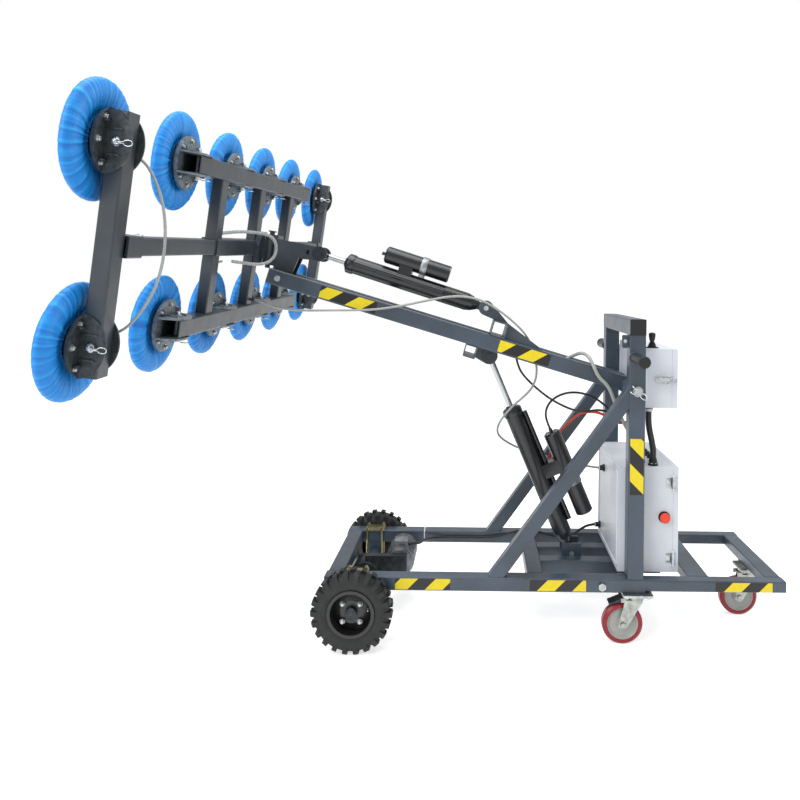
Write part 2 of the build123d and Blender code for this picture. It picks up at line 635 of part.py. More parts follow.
def spacer_port(facing_mast):
    """A hose port on the rear spacer: on its mast side, or on its underside for the cable."""
    if facing_mast:
        start = boom_point(BOOM_SPACERS[0] - SPACER_TUBE / 2, 0, 16)
        end = boom_point(BOOM_SPACERS[0] - SPACER_TUBE / 2 - PORT_LENGTH, 0, 16)
        return rod(start, end, AIR_HOSE / 2)
    start = boom_point(BOOM_SPACERS[0], -SPACER_TUBE / 2, -16)
    end = boom_point(BOOM_SPACERS[0], -SPACER_TUBE / 2 - PORT_LENGTH, -16)
    return rod(start, end, MOTOR_CABLE / 2 + 1)


def cross_tube(centre, size, reach, slope):
    """A square tube across the boom, square to the boom's own slope."""
    return box_tube((centre[0], -reach, centre[2]), (centre[0], reach, centre[2]), (cos(slope), 0, -sin(slope)),
                    size, size)


def boom_lugs():
    """Plates under the boom for the lift actuator, and plates on the saddle for the tilt actuator."""
    slope = radians(BOOM_SLOPE)
    pieces = []
    under_along = (BOOM_PIVOT_X - UNDER_TUBE_X - UNDER_TUBE / 2) / cos(slope)
    low = boom_point(under_along - UNDER_TUBE / 2, -(TUBE + UNDER_TUBE) / 2)
    slot_radius = RAM_PIN_RADIUS + EYE_SLACK
    edge = Pos(low[0], low[2]) * Rot(0, 0, -BOOM_SLOPE) * Pos(0.5, 0) * Rectangle(1, UNDER_TUBE - 4)
    lift = make_hull((Pos(*LIFT_EYE) * Circle(slot_radius + 12)).edges() + edge.edges())
    lift -= Pos(*LIFT_EYE) * Circle(slot_radius)
    lift &= Pos(low[0], low[2]) * Rot(0, 0, -BOOM_SLOPE) * Pos(200, 0) * Rectangle(400, 400)
    saddle_along = (BOOM_PIVOT_X - SADDLE_TUBE_X - TUBE / 2) / cos(slope)
    top = boom_point(saddle_along, TUBE * 1.5)
    foot = Pos(top[0], top[2]) * Rot(0, 0, -BOOM_SLOPE) * Pos(0, 1) * Rectangle(TUBE, 2)
    tilt = make_hull((Pos(*TILT_BASE) * Circle(30)).edges() + foot.edges())
    tilt -= Pos(*TILT_BASE) * Circle(RAM_PIN_RADIUS)
    tilt &= Pos(top[0], top[2]) * Rot(0, 0, -BOOM_SLOPE) * Pos(0, 200) * Rectangle(400, 400)
    heel = boom_point(saddle_along - TUBE / 2, TUBE * 1.5)
    toe = boom_point(saddle_along - 190, TUBE / 2)
    root = boom_point(saddle_along - TUBE / 2, TUBE / 2)
    gusset = make_face(Polyline((heel[0], heel[2]), (root[0], root[2]), (toe[0], toe[2]), close=True))
    inner = RAM_EYE_WIDTH / 2 + BODY_GAP
    for side in (-1, 1):
        y0, y1 = sorted((side * inner, side * (inner + PLATE)))
        pieces.append(plate_xz(lift, y0, y1))
        pieces.append(plate_xz(tilt, y0, y1))
        g0, g1 = sorted((side * (BOOM_GAP / 2 + 26), side * (BOOM_GAP / 2 + 34)))
        pieces.append(plate_xz(gusset, g0, g1))
    return pieces


def boom_pins():
    """The tilt pivot pin through the twin tubes, and the tilt actuator's rear pin."""
    outer = BOOM_GAP / 2 + TUBE
    x, _, z = boom_point(TILT_PIVOT_ALONG, 0)
    pivot = rod((x, -outer - 20, z), (x, outer + 6, z), TILT_PIN_RADIUS)
    pivot += rod((x, outer, z), (x, outer + 6, z), TILT_PIN_RADIUS + 6)
    side = BOOM_GAP / 2
    spacers = []
    for sign in (-1, 1):
        lever_face = TUBE / 2 + PLATE
        y0, y1 = sorted((sign * (lever_face + BODY_GAP), sign * side))
        spacers.append(rod((x, y0, z), (x, y1, z), 20, TILT_PIN_RADIUS))
    reach = RAM_EYE_WIDTH / 2 + BODY_GAP + PLATE
    rear = rod((TILT_BASE[0], -reach - 16, TILT_BASE[1]), (TILT_BASE[0], reach + 5, TILT_BASE[1]), RAM_PIN_RADIUS)
    rear += rod((TILT_BASE[0], reach, TILT_BASE[1]), (TILT_BASE[0], reach + 5, TILT_BASE[1]), RAM_PIN_RADIUS + 5)
    return [pivot, rear] + spacers


# Linear actuators

def ram_place(base, eye):
    """The actuator's own frame: x along it from the base pin, z to the motor's side."""
    run = Vector(eye[0] - base[0], 0, eye[1] - base[1])
    motor_side = run.cross(Vector(0, 1, 0))
    if motor_side.Z < 0 and abs(run.X) > abs(run.Z) or run.Z > abs(run.X) and motor_side.X < 0:
        motor_side = motor_side * -1
    return Plane(origin=(base[0], 0, base[1]), x_dir=run, z_dir=motor_side).location


def ram_tube(base, eye, tube_length, motor, offset, sensor_turn, travel):
    """Base eye, tapered tail, outer tube with a gland, sensor tube, and the gear case that holds the motor's middle."""
    r = RAM_TUBE_RADIUS
    motor_start, motor_length = motor
    bore_start = tube_length - RAM_OVERLAP - 2 * travel - 5
    profile = [(34, 0), (34, RAM_EYE_WIDTH / 2), (60, r - 6), (84, r), (tube_length - 34, r), (tube_length - 34, r + 2),
               (tube_length - 6, r + 2), (tube_length, r - 5), (tube_length, RAM_ROD_RADIUS + RUNNING_FIT),
               (bore_start, RAM_ROD_RADIUS + RUNNING_FIT), (bore_start, 0)]
    body = ring_profile(profile)
    tail = Rot(90, 0, 0) * Cylinder(RAM_EYE_RADIUS, RAM_EYE_WIDTH)
    tail += block((0, 40), (-RAM_EYE_WIDTH / 2, RAM_EYE_WIDTH / 2), (-16, 16))
    tail -= Rot(90, 0, 0) * Cylinder(RAM_PIN_RADIUS + RUNNING_FIT, 60)
    case_start = motor_start + motor_length * CASE_SHARE
    middle = case_start + RAM_CASE_LENGTH / 2
    case = block((case_start, case_start + RAM_CASE_LENGTH), (-RAM_MOTOR_RADIUS + 8, RAM_MOTOR_RADIUS - 8), (0, offset))
    case -= Pos(middle, 0, 0) * Rot(0, 90, 0) * Cylinder(r - 4, RAM_CASE_LENGTH + 4)
    case -= Pos(middle, 0, offset) * Rot(0, 90, 0) * Cylinder(RAM_MOTOR_RADIUS - 1 + RUNNING_FIT, RAM_CASE_LENGTH + 4)
    sensor = Rot(-sensor_turn, 0, 0) * Pos((motor_start + tube_length - 34) / 2, 0, r + 9) * Rot(0, 90, 0)
    sensor = sensor * Cylinder(10, tube_length - 34 - motor_start)
    return [ram_place(base, eye) * (body + tail + case + sensor)]


def ram_motor(base, eye, motor, offset):
    """The motor beside the tube: can, band round its middle, and bevelled ends."""
    r = RAM_MOTOR_RADIUS
    start, length = motor
    can = ring_profile([(0, 0), (0, r - 5), (4, r - 1), (length * 0.35, r - 1), (length * 0.35, r), (length * 0.44, r),
                        (length * 0.44, r - 1), (length - 6, r - 1), (length, r - 7), (length, 0)])
    can += Pos(length + PORT_LENGTH / 2, 0, 0) * Rot(0, 90, 0) * Cylinder(7, PORT_LENGTH)
    return [ram_place(base, eye) * Pos(start, 0, offset) * can]


def ram_rod(base, eye, tube_length, travel, washer_gap):
    """The chromed rod with its eye, and the pin with its two wide washers."""
    length = hypot(eye[0] - base[0], eye[1] - base[1])
    inner_end = tube_length - RAM_OVERLAP - travel
    shaft = Pos((inner_end + length) / 2, 0, 0) * Rot(0, 90, 0) * Cylinder(RAM_ROD_RADIUS, length - inner_end)
    end = Pos(length, 0, 0) * Rot(90, 0, 0) * Cylinder(RAM_EYE_RADIUS, RAM_EYE_WIDTH)
    pin = Pos(length, 0, 0) * Rot(90, 0, 0) * Cylinder(RAM_PIN_RADIUS, 2 * washer_gap + 34)
    washers = []
    for side in (-1, 1):
        centre = side * (washer_gap + BODY_GAP + 2.5)
        washers.append(Pos(length, centre, 0) * Rot(90, 0, 0) * Cylinder(RAM_PIN_RADIUS + EYE_SLACK + 7, 5))
    return [ram_place(base, eye) * (shaft + end + pin + washers[0] + washers[1])]


def tilt_eye():
    """Where the tilt actuator's rod is pinned to the lever at rest."""
    p = (lever_place() * Pos(LEVER_ROD[0], 0, LEVER_ROD[1])).position
    return (p.X, p.Z)


# Head linkage

def lever_place():
    """The tilt pivot, turned by the head's tilt at rest."""
    return Pos(*boom_point(TILT_PIVOT_ALONG, 0)) * Rot(0, HEAD_TILT, 0)


def swing_place():
    """The swing pin on the rotation axis, turned by the head's swing at rest."""
    return lever_place() * Pos(SWING_AXIS_X, 0, HUB_AXIS_Z) * Rot(0, 0, HEAD_SWING)


def head_place():
    """The centre of the cups' plane, turned by the head's roll at rest."""
    return swing_place() * Pos(-SWING_TO_CUPS, 0, 0) * Rot(HEAD_ROLL, 0, 0)


def tilt_lever():
    """A tube between two side plates, with a front plate and the two arms that hold the swing pin."""
    half = TUBE / 2
    rod_x, rod_z = LEVER_ROD
    outline = make_face(Polyline((LEVER_FRONT_X, HUB_AXIS_Z + 48), (rod_x, rod_z + 26), (rod_x, rod_z - 26),
                                 (50, HUB_AXIS_Z - 18), (26, 0), (-26, 0), (LEVER_FRONT_X, HUB_AXIS_Z - 56),
                                 close=True))
    outline += Circle(27)
    outline += Pos(rod_x, rod_z) * Circle(RAM_PIN_RADIUS + EYE_SLACK + 6)
    outline -= Circle(TILT_PIN_RADIUS + RUNNING_FIT)
    outline -= Pos(rod_x, rod_z) * Circle(RAM_PIN_RADIUS + EYE_SLACK)
    outline -= Pos(rod_x - 48, rod_z) * Circle(9)
    lever = plate_xz(outline, -half - PLATE, -half) + plate_xz(outline, half, half + PLATE)
    beam = block((LEVER_FRONT_X, rod_x - 62), (-half, half), (HUB_AXIS_Z - 14, HUB_AXIS_Z + 42))
    beam -= block((LEVER_FRONT_X + 6, rod_x - 60), (-half + TUBE_WALL, half - TUBE_WALL),
                  (HUB_AXIS_Z - 10, HUB_AXIS_Z + 38))
    front = block((LEVER_FRONT_X - 12, LEVER_FRONT_X), (-half - PLATE, half + PLATE),
                  (HUB_AXIS_Z - 62, HUB_AXIS_Z + 62))
    lever = lever + beam + front
    for side in (-1, 1):
        arm = Pos(SWING_AXIS_X, 0) * Circle(SWING_ARM_RADIUS)
        arm += Pos((SWING_AXIS_X + LEVER_FRONT_X - 12) / 2, 0) * Rectangle(
            LEVER_FRONT_X - 12 - SWING_AXIS_X, 2 * SWING_ARM_RADIUS)
        arm -= Pos(SWING_AXIS_X, 0) * Circle(SWING_PIN_RADIUS)
        z0 = HUB_AXIS_Z + (50 if side > 0 else -62)
        lever += Pos(0, 0, z0) * extrude(arm, 12)
    pin = Pos(SWING_AXIS_X, 0, HUB_AXIS_Z) * Cylinder(SWING_PIN_RADIUS, 150)
    pin += Pos(SWING_AXIS_X, 0, HUB_AXIS_Z + 75) * Cylinder(SWING_PIN_RADIUS + 6, 5)
    return [lever_place() * lever, lever_place() * pin]


def swing_block():
    """A vertical barrel on the swing pin, with the disc that the head turns against."""
    barrel = Cylinder(22, 2 * (50 - BODY_GAP))
    face = -SWING_TO_CUPS + BAR_FACE + TUBE + TURNTABLE_THICK + BODY_GAP
    disc = Pos(face + 5, 0, 0) * Rot(0, 90, 0) * Cylinder(TURNTABLE_RADIUS, 10)
    web = block((face + 9, -10), (-20, 20), (-40, 40))
    part = barrel + disc + web
    part -= Cylinder(SWING_PIN_RADIUS + RUNNING_FIT, 200)
    part -= Pos(face + 6, 0, 0) * Rot(0, 90, 0) * Cylinder(TURN_SHAFT_RADIUS + RUNNING_FIT, 13)
    return [swing_place() * part]


def head_frame():
    """Upper and lower bars, the centre beam, six upright pieces and the turntable disc."""
    middle = BAR_FACE + TUBE / 2
    half_bar = BAR_LENGTH / 2
    half_beam = CENTRE_BEAM_LENGTH / 2
    pieces = []
    for side in (-1, 1):
        z = side * ROW_HEIGHT
        bar = box_tube((middle, -half_bar, z), (middle, half_bar, z), (1, 0, 0), TUBE, TUBE)
        for y in bar_cup_ys():
            bar -= rod((middle, y, z - 40), (middle, y, z + 40), CUP_PIN_RADIUS)
        pieces.append(bar)
        for i in (-1, 0, 1):
            y = i * UPRIGHT_PITCH
            inner, outer = sorted((side * TUBE / 2, side * (ROW_HEIGHT - TUBE / 2)))
            pieces.append(box_tube((middle, y, inner), (middle, y, outer), (1, 0, 0), UPRIGHT_DEPTH, TUBE))
    beam = box_tube((middle, -half_beam, 0), (middle, half_beam, 0), (1, 0, 0), TUBE, TUBE)
    disc = Pos(BAR_FACE + TUBE + TURNTABLE_THICK / 2, 0, 0) * Rot(0, 90, 0) * Cylinder(TURNTABLE_RADIUS, TURNTABLE_THICK)
    disc += Pos(BAR_FACE + TUBE + TURNTABLE_THICK + 5.5, 0, 0) * Rot(0, 90, 0) * Cylinder(TURN_SHAFT_RADIUS, 11)
    pieces.append(beam)
    pieces.append(disc)
    pieces.append(rod(HEAD_PORT, (HEAD_PORT[0] + PORT_LENGTH, HEAD_PORT[1], HEAD_PORT[2]), SENSE_HOSE / 2 + 1.5))
    loop_end = (LOOP_PORT[0], LOOP_PORT[1] + PORT_LENGTH, LOOP_PORT[2])
    pieces.append(rod(LOOP_PORT, loop_end, LOOP_HOSE / 2 + 1.5))
    bar_end = (BAR_PORT[0], BAR_PORT[1], BAR_PORT[2] + PORT_LENGTH)
    pieces.append(rod(BAR_PORT, bar_end, CUP_HOSE / 2 + 1.5))
    return [head_place() * piece for piece in pieces]


def bar_cup_ys():
    """The four places of the cups along each bar."""
    return [(i - 1.5) * CUP_PITCH for i in range(4)]


def end_bar(side):
    """An extension arm with its socket, and the upright bar that carries two cups."""
    middle = BAR_FACE + TUBE / 2
    bar_x = BAR_FACE + END_BAR_DEPTH / 2
    inner_face = END_CUP_Y - TUBE / 2
    arm = box_tube((middle, side * ARM_INNER_Y, 0), (middle, side * (inner_face - 2), 0), (1, 0, 0), ARM_TUBE, ARM_TUBE)
    socket = box_tube((middle, side * (inner_face - ARM_SOCKET), 0), (middle, side * inner_face, 0), (1, 0, 0),
                      TUBE, TUBE)
    bar = box_tube((bar_x, side * END_CUP_Y, -END_BAR_LENGTH / 2), (bar_x, side * END_CUP_Y, END_BAR_LENGTH / 2),
                   (1, 0, 0), END_BAR_DEPTH, TUBE)
    for z in (-ROW_HEIGHT, ROW_HEIGHT):
        bar -= rod((bar_x + 5, side * END_CUP_Y - 40, z), (bar_x + 5, side * END_CUP_Y + 40, z), CUP_PIN_RADIUS)
    return [head_place() * piece for piece in (arm, socket, bar)]


# Vacuum cups

def cup_rubber():
    """A rubber cup about the X axis: a thick ring with a shallow cavity behind its lip."""
    r = CUP_RADIUS
    lip, back = CUP_LIP, CUP_WEB_TOP
    section = Polyline((back, 0), (back, r - 8), (back - 5, r), (lip + 5, r), (lip, r - 6), (lip, CUP_CAVITY_RADIUS + 6),
                       (lip + 4, CUP_CAVITY_RADIUS), (lip + CUP_CAVITY_DEPTH, CUP_CAVITY_RADIUS - 6),
                       (lip + CUP_CAVITY_DEPTH, 0), close=True)
    return revolve(make_face(section), Axis.X)


def cup_cover():
    """A cloth cover round the ring, gathered at the hub and tucked over the lip."""
    r = CUP_RADIUS + BODY_GAP
    t = COVER_THICK
    back = CUP_WEB_TOP + BODY_GAP
    neck = HUB_RADIUS - 14
    front = CUP_LIP - BODY_GAP
    inner = [(back, neck), (back, r - 8), (back - 5, r), (CUP_LIP + 5, r), (front, r - 6), (front, CUP_CAVITY_RADIUS + 8)]
    sketch = Polyline(*inner)
    sketch += Line(inner[-1], (front - 1, CUP_CAVITY_RADIUS + 8))
    sketch += Line((front - 1, CUP_CAVITY_RADIUS + 8), (front - 1, r - 6))
    sketch += ThreePointArc((front - 1, r - 6), (CUP_LIP + 4, r + t), (0, COVER_RADIUS))
    sketch += ThreePointArc((0, COVER_RADIUS), (back + 15, COVER_RADIUS - 28), (back + 14, neck + 18))
    sketch += Line((back + 14, neck + 18), (back + 3, neck))
    sketch += Line((back + 3, neck), inner[0])
    return revolve(make_face(sketch), Axis.X)


def cup_hub(pin_x):
    """The cast hub plate with two ears round the bar, and the pin through them. Ears lie in Z."""
    face = BAR_FACE
    rubber_top = CUP_WEB_TOP
    plate = ring_profile([(rubber_top, 0), (rubber_top, HUB_NECK_RADIUS), (face - HUB_EDGE - 8, HUB_NECK_RADIUS + 4),
                          (face - HUB_EDGE, HUB_RADIUS), (face, HUB_RADIUS), (face, 0)])
    half = TUBE / 2
    ear = Pos(face, 0) * Ellipse(EAR_REACH, HUB_RADIUS - 2)
    ear &= Pos(face + 100, 0) * Rectangle(200, 300)
    ears = []
    for side in (-1, 1):
        z0 = half if side > 0 else -half - EAR_THICK
        ears.append(Pos(0, 0, z0) * extrude(ear, EAR_THICK))
    hub = plate + ears[0] + ears[1]
    hub -= Pos(pin_x, 0, 0) * Cylinder(CUP_PIN_RADIUS, 200)
    pin = Pos(pin_x, 0, 0) * Cylinder(CUP_PIN_RADIUS, 2 * (half + EAR_THICK) + 26)
    pin += Pos(pin_x, 0, half + EAR_THICK + 2) * Cylinder(CUP_PIN_RADIUS + 4, 4)
    return hub, pin


def cup_places(group):
    """Each cup's place on the head: its centre, and whether its ears stand beside an upright bar."""
    places = []
    if group == "frame":
        for z in (-ROW_HEIGHT, ROW_HEIGHT):
            for y in bar_cup_ys():
                places.append(head_place() * Pos(0, y, z))
    else:
        y = -END_CUP_Y if group == "near" else END_CUP_Y
        turn = 90 if group == "near" else -90
        for z in (-ROW_HEIGHT, ROW_HEIGHT):
            places.append(head_place() * Pos(0, y, z) * Rot(turn, 0, 0))
    return places


def cup_hubs(group):
    """Every hub of a group with its pin."""
    middle = BAR_FACE + (TUBE / 2 if group == "frame" else END_BAR_DEPTH / 2 + 5)
    hub, pin = cup_hub(middle)
    pieces = []
    for place in cup_places(group):
        pieces += [place * hub, place * pin]
    if group != "frame":
        side = -1 if group == "near" else 1
        y = side * (END_CUP_Y - END_PORT_Y)
        for z in (-END_PORT_Z, END_PORT_Z):
            pieces.append(head_place() * rod((BAR_FACE, y, z), (BAR_FACE + PORT_LENGTH, y, z), CUP_HOSE / 2 + 1.5))
    return pieces


def cup_rubbers(group):
    """Every rubber cup of a group."""
    rubber = cup_rubber()
    return [place * rubber for place in cup_places(group)]


def cup_covers(group):
    """Every cloth cover of a group."""
    cover = cup_cover()
    return [place * cover for place in cup_places(group)]


# Cabinet and control box

def hinge_ears(x, y, wall_y, z, half):
    """Two ears on a wall, above and below a hinge knuckle, with the pin that passes through it."""
    y0, y1 = sorted((y, wall_y))
    ears = rod((x, y, z - half - 6), (x, y, z + half + 6), HINGE_PIN_RADIUS)
    for z0 in (z - half - 6, z + half + BODY_GAP):
        ears += block((x - 12, x), (y0, y1), (z0, z0 + 6 - BODY_GAP))
        ears += Pos(x, y, z0 + 3 - BODY_GAP / 2) * Cylinder(DOOR_HINGE_RADIUS - 1, 6 - BODY_GAP)
    return ears


def cabinet_shell():
    """A sheet steel cabinet, open at the rear for its door, with an inner shelf and two cable glands."""
    (x0, x1), (z0, z1) = CABINET_X, CABINET_Z
    w = CABINET_HALF_WIDTH
    shell = block((x0, x1), (-w, w), (z0, z1))
    shell -= block((x0 + SHEET, x1 + 1), (-w + SHEET, w - SHEET), (z0 + SHEET, z1 - SHEET))
    for z in (410.0, 548.0):
        shell -= rod((x0 - 5, -w + 34, z), (x0 + 5, -w + 34, z), 11)
    glands = []
    for x, y, radius in (BUNDLE_GLAND, AIR_GLAND):
        gland = Pos(x, y, z1) * extrude(RegularPolygon(radius + 4, 6), 10)
        gland += Pos(x, y, z1 + 18) * Cylinder(radius, 16)
        glands.append(gland)
    for y, z in FRONT_GLANDS:
        glands.append(rod((x0, y, z), (x0 - GLAND_LENGTH, y, z), 10))
    collar = rod((STOP_X, -w - 4, STOP_Z), (STOP_X, -w, STOP_Z), 16, 8 + RUNNING_FIT)
    shell -= rod((STOP_X, -w - 5, STOP_Z), (STOP_X, -w + 5, STOP_Z), 8 + RUNNING_FIT)
    ears = [hinge_ears(x1 + DOOR_SEAT / 2, -w - DOOR_HINGE_RADIUS, -w, z, 22) for z in DOOR_HINGES_Z]
    return [shell] + glands + [collar] + ears


def cabinet_door():
    """A dished door with two hinge knuckles on the near side."""
    (x0, x1), (z0, z1) = CABINET_X, CABINET_Z
    w = CABINET_HALF_WIDTH
    start = x1 + DOOR_SEAT
    door = block((start, start + DOOR_DEPTH), (-w, w), (z0, z1))
    door -= block((start - 1, start + DOOR_DEPTH - SHEET), (-w + SHEET, w - SHEET), (z0 + SHEET, z1 - SHEET))
    for z in DOOR_HINGES_Z:
        door += Pos(x1 + DOOR_SEAT / 2, -w - DOOR_HINGE_RADIUS, z) * Cylinder(DOOR_HINGE_RADIUS - 1, 44)
        door += block((x1 + 4, x1 + 20), (-w - 3, -w), (z - 20, z + 20))
        door -= Pos(x1 + DOOR_SEAT / 2, -w - DOOR_HINGE_RADIUS, z) * Cylinder(HINGE_PIN_RADIUS + RUNNING_FIT, 60)
    return [door]


def battery_and_pump():
    """Two batteries on the cabinet's floor and the vacuum pump above them."""
    (x0, _), (z0, _) = CABINET_X, CABINET_Z
    floor = z0 + SHEET
    pieces = []
    for side in (-1, 1):
        y = side * 100
        battery = block((x0 + 20, x0 + 180), (y - 82, y + 82), (floor, floor + 165))
        pieces.append(battery)
    return pieces + vacuum_pump()


def vacuum_pump():
    """A small pump on a plate above the batteries, fixed to the cabinet's front wall."""
    (x0, _), _ = CABINET_X, CABINET_Z
    plate = block((x0 + SHEET, x0 + SHEET + 4), (-150, 150), (440, 600))
    body = Pos(x0 + SHEET + 4 + 45, -30, 520) * Rot(90, 0, 0) * Cylinder(44, 120)
    body += block((x0 + SHEET + 4, x0 + 50), (-70, 10), (480, 560))
    body += block((x0 + 20, x0 + 90), (40, 110), (490, 560))
    body += block((x0 + SHEET + 4, x0 + 30), (40, 110), (490, 560))
    return [plate + body]


def emergency_stop():
    """A mushroom button on the cabinet's near side."""
    y = -CABINET_HALF_WIDTH
    button = rod((STOP_X, y + 14, STOP_Z), (STOP_X, y - 14, STOP_Z), 8)
    head = rod((STOP_X, y - 12, STOP_Z), (STOP_X, y - 24, STOP_Z), STOP_RADIUS)
    head = fillet(head.edges().filter_by(GeomType.CIRCLE).sort_by(Axis.Y)[0], 6)
    return [button + head]


def control_box():
    """A sheet steel box across the back of the posts, open at the rear for its lid."""
    (x0, x1), (z0, z1) = BOX_X, BOX_Z
    w = BOX_HALF_WIDTH
    box = block((x0, x1), (-w, w), (z0, z1))
    box -= block((x0 + SHEET, x1 + 1), (-w + SHEET, w - SHEET), (z0 + SHEET, z1 - SHEET))
    box -= Pos(JOYSTICK_X, JOYSTICK_Y, z1) * Cylinder(13, 20)
    glands = [Pos(BOX_GLAND_X, BUNDLE_TOP_Y, z0 - 8) * Cylinder(16, 16)]
    for y in BOX_GLANDS_Y:
        glands.append(Pos(BOX_GLAND_X, y, z0 - 8) * Cylinder(9, 16))
    brackets = []
    for side in (-1, 1):
        y0, y1 = sorted((side * (w - 20), side * (HALF - 2)))
        brackets.append(block((POST_X + TUBE, x0), (y0, y1), (z0 + 20, z1 - 20)))
    ears = [hinge_ears(x1 + DOOR_SEAT / 2, w + DOOR_HINGE_RADIUS, w, z, 18)
            for z in (z0 + LID_HINGE_INSET, z1 - LID_HINGE_INSET)]
    return [box] + glands + brackets + ears + [latch_base(), joystick_seat()]


def latch_base():
    """The latch's fixed plate on the near wall, with two ears and a pin."""
    (_, x1), _ = BOX_X, BOX_Z
    y = -BOX_HALF_WIDTH
    x = x1 - LATCH_BACK
    base = block((x1 - 34, x1 - 2), (y - 2, y), (LATCH_Z - 16, LATCH_Z + 16))
    base += rod((x, y - 8, LATCH_Z - 16), (x, y - 8, LATCH_Z + 16), LATCH_PIN_RADIUS)
    for z0 in (LATCH_Z - 16, LATCH_Z + 12 + BODY_GAP):
        base += block((x - 5, x + 5), (y - 12, y - 1), (z0, z0 + 4 - BODY_GAP))
    return base


def joystick_seat():
    """A bridge under the box's top that the joystick's ball rests over."""
    top = BOX_Z[1] - SHEET
    low = BOX_Z[1] - JOYSTICK_SUNK - JOYSTICK_RADIUS - BODY_GAP
    seat = block((JOYSTICK_X - 18, JOYSTICK_X + 18), (JOYSTICK_Y - 22, JOYSTICK_Y + 22), (low - 8, low))
    for side in (-1, 1):
        y0, y1 = sorted((JOYSTICK_Y + side * 18, JOYSTICK_Y + side * 22))
        seat += block((JOYSTICK_X - 18, JOYSTICK_X + 18), (y0, y1), (low - 8, top))
    return seat


def control_lid():
    """The rear lid of the control box, hinged on the far side."""
    (_, x1), (z0, z1) = BOX_X, BOX_Z
    w = BOX_HALF_WIDTH
    start = x1 + DOOR_SEAT
    lid = block((start, start + LID_DEPTH), (-w, w), (z0, z1))
    lid -= block((start - 1, start + LID_DEPTH - SHEET), (-w + SHEET, w - SHEET), (z0 + SHEET, z1 - SHEET))
    for z in (z0 + LID_HINGE_INSET, z1 - LID_HINGE_INSET):
        lid += Pos(x1 + DOOR_SEAT / 2, w + DOOR_HINGE_RADIUS, z) * Cylinder(DOOR_HINGE_RADIUS - 1, 36)
        lid += block((x1 + 4, x1 + 20), (w, w + 3), (z - 16, z + 16))
        lid -= Pos(x1 + DOOR_SEAT / 2, w + DOOR_HINGE_RADIUS, z) * Cylinder(HINGE_PIN_RADIUS + RUNNING_FIT, 60)
    lid += block((start + 2, start + 12), (-w - 6, -w), (LATCH_Z - 9, LATCH_Z + 9))
    return [lid]


def control_latch():
    """A toggle latch on the near side: a lever on a base, with a bail that holds the lid's hook."""
    (_, x1), _ = BOX_X, BOX_Z
    y = -BOX_HALF_WIDTH
    x = x1 - LATCH_BACK
    lever = block((x - 50, x), (y - 13, y - 9), (LATCH_Z - 10, LATCH_Z + 10))
    lever += rod((x, y - 8, LATCH_Z - 12), (x, y - 8, LATCH_Z + 12), 5.5)
    lever -= rod((x, y - 8, LATCH_Z - 20), (x, y - 8, LATCH_Z + 20), LATCH_PIN_RADIUS + RUNNING_FIT)
    return [lever]


def joystick():
    """A thumb lever in a rubber boot on top of the control box."""
    z = BOX_Z[1]
    low = z - JOYSTICK_SUNK
    length = JOYSTICK_HEIGHT + JOYSTICK_SUNK - 4
    stick = Pos(JOYSTICK_X, JOYSTICK_Y, low + length / 2) * Cylinder(JOYSTICK_RADIUS, length)
    stick += Pos(JOYSTICK_X, JOYSTICK_Y, low) * Sphere(JOYSTICK_RADIUS)
    knob = Pos(JOYSTICK_X, JOYSTICK_Y, z + JOYSTICK_HEIGHT - 10) * Cylinder(11, 24)
    knob = fillet(knob.edges().filter_by(GeomType.CIRCLE), 5)
    return [stick + knob]


# Hoses and cables

def flexible(points, diameter, name):
    """A tube along straight runs joined by arcs, each as large as its two runs allow."""
    corners = [Vector(*point) for point in points]
    runs = [after - before for before, after in zip(corners, corners[1:])]
    radii = []
    for before, after in zip(runs, runs[1:]):
        turn = radians(before.get_angle(after))
        radii.append(ARC_SHARE * min(before.length, after.length) / tan(turn / 2))
    path = FilletPolyline(*corners, radius=radii)
    tube = sweep(Plane(origin=corners[0], z_dir=runs[0]) * Circle(diameter / 2), path)
    expected = path.length * pi * diameter ** 2 / 4
    print(name, "length", round(path.length), "least radius in diameters", round(min(radii) / diameter, 1),
          "longest run in diameters", round(max(run.length for run in runs) / diameter, 1),
          "volume share", round(tube.volume / expected, 4))
    return tube


def near_bar_hose():
    """The hose between the two cups of the near end bar, in the head's own frame."""
    y = END_PORT_Y - END_CUP_Y
    first = (BAR_FACE + PORT_LENGTH, y, END_PORT_Z)
    last = (BAR_FACE + PORT_LENGTH, y, -END_PORT_Z)
    route = [first, (95, -1037, 238), (135, -1036, 190), (165, -1034, 125), (182, -1036, 50),
             (185, -1037, -30), (172, -1036, -105), (140, -1037, -175), (97, -1037, -232), last]
    return [head_place() * flexible(route, CUP_HOSE, "near bar hose")]


def head_hoses():
    """The thick loop beside the hub with its coupling, and the thin hose on to the lower bar."""
    first = (LOOP_PORT[0], LOOP_PORT[1] + PORT_LENGTH, LOOP_PORT[2])
    route = [first, (76, -335, 51), (103, -299, 60), (136, -261, 66), (177, -206, 67), (202, -173, 57),
             (215, -154, 28), (216, -152, -8), (204, -169, -37), (183, -198, -50), (159, -230, -53),
             (130, -264, -51), (100, -290, -50)]
    loop = flexible(route, LOOP_HOSE, "head loop")
    coupling = rod((100, -290, -50), (76, -322, -53), LOOP_HOSE / 2 + 2)
    thin = [(76, -322, -53), (62, -342, -58), (57, -359, -80), (62, -369, -125), (68, -371, -170),
            (BAR_PORT[0], BAR_PORT[1], BAR_PORT[2] + PORT_LENGTH)]
    return [head_place() * piece for piece in (loop, coupling, flexible(thin, CUP_HOSE, "lower bar hose"))]


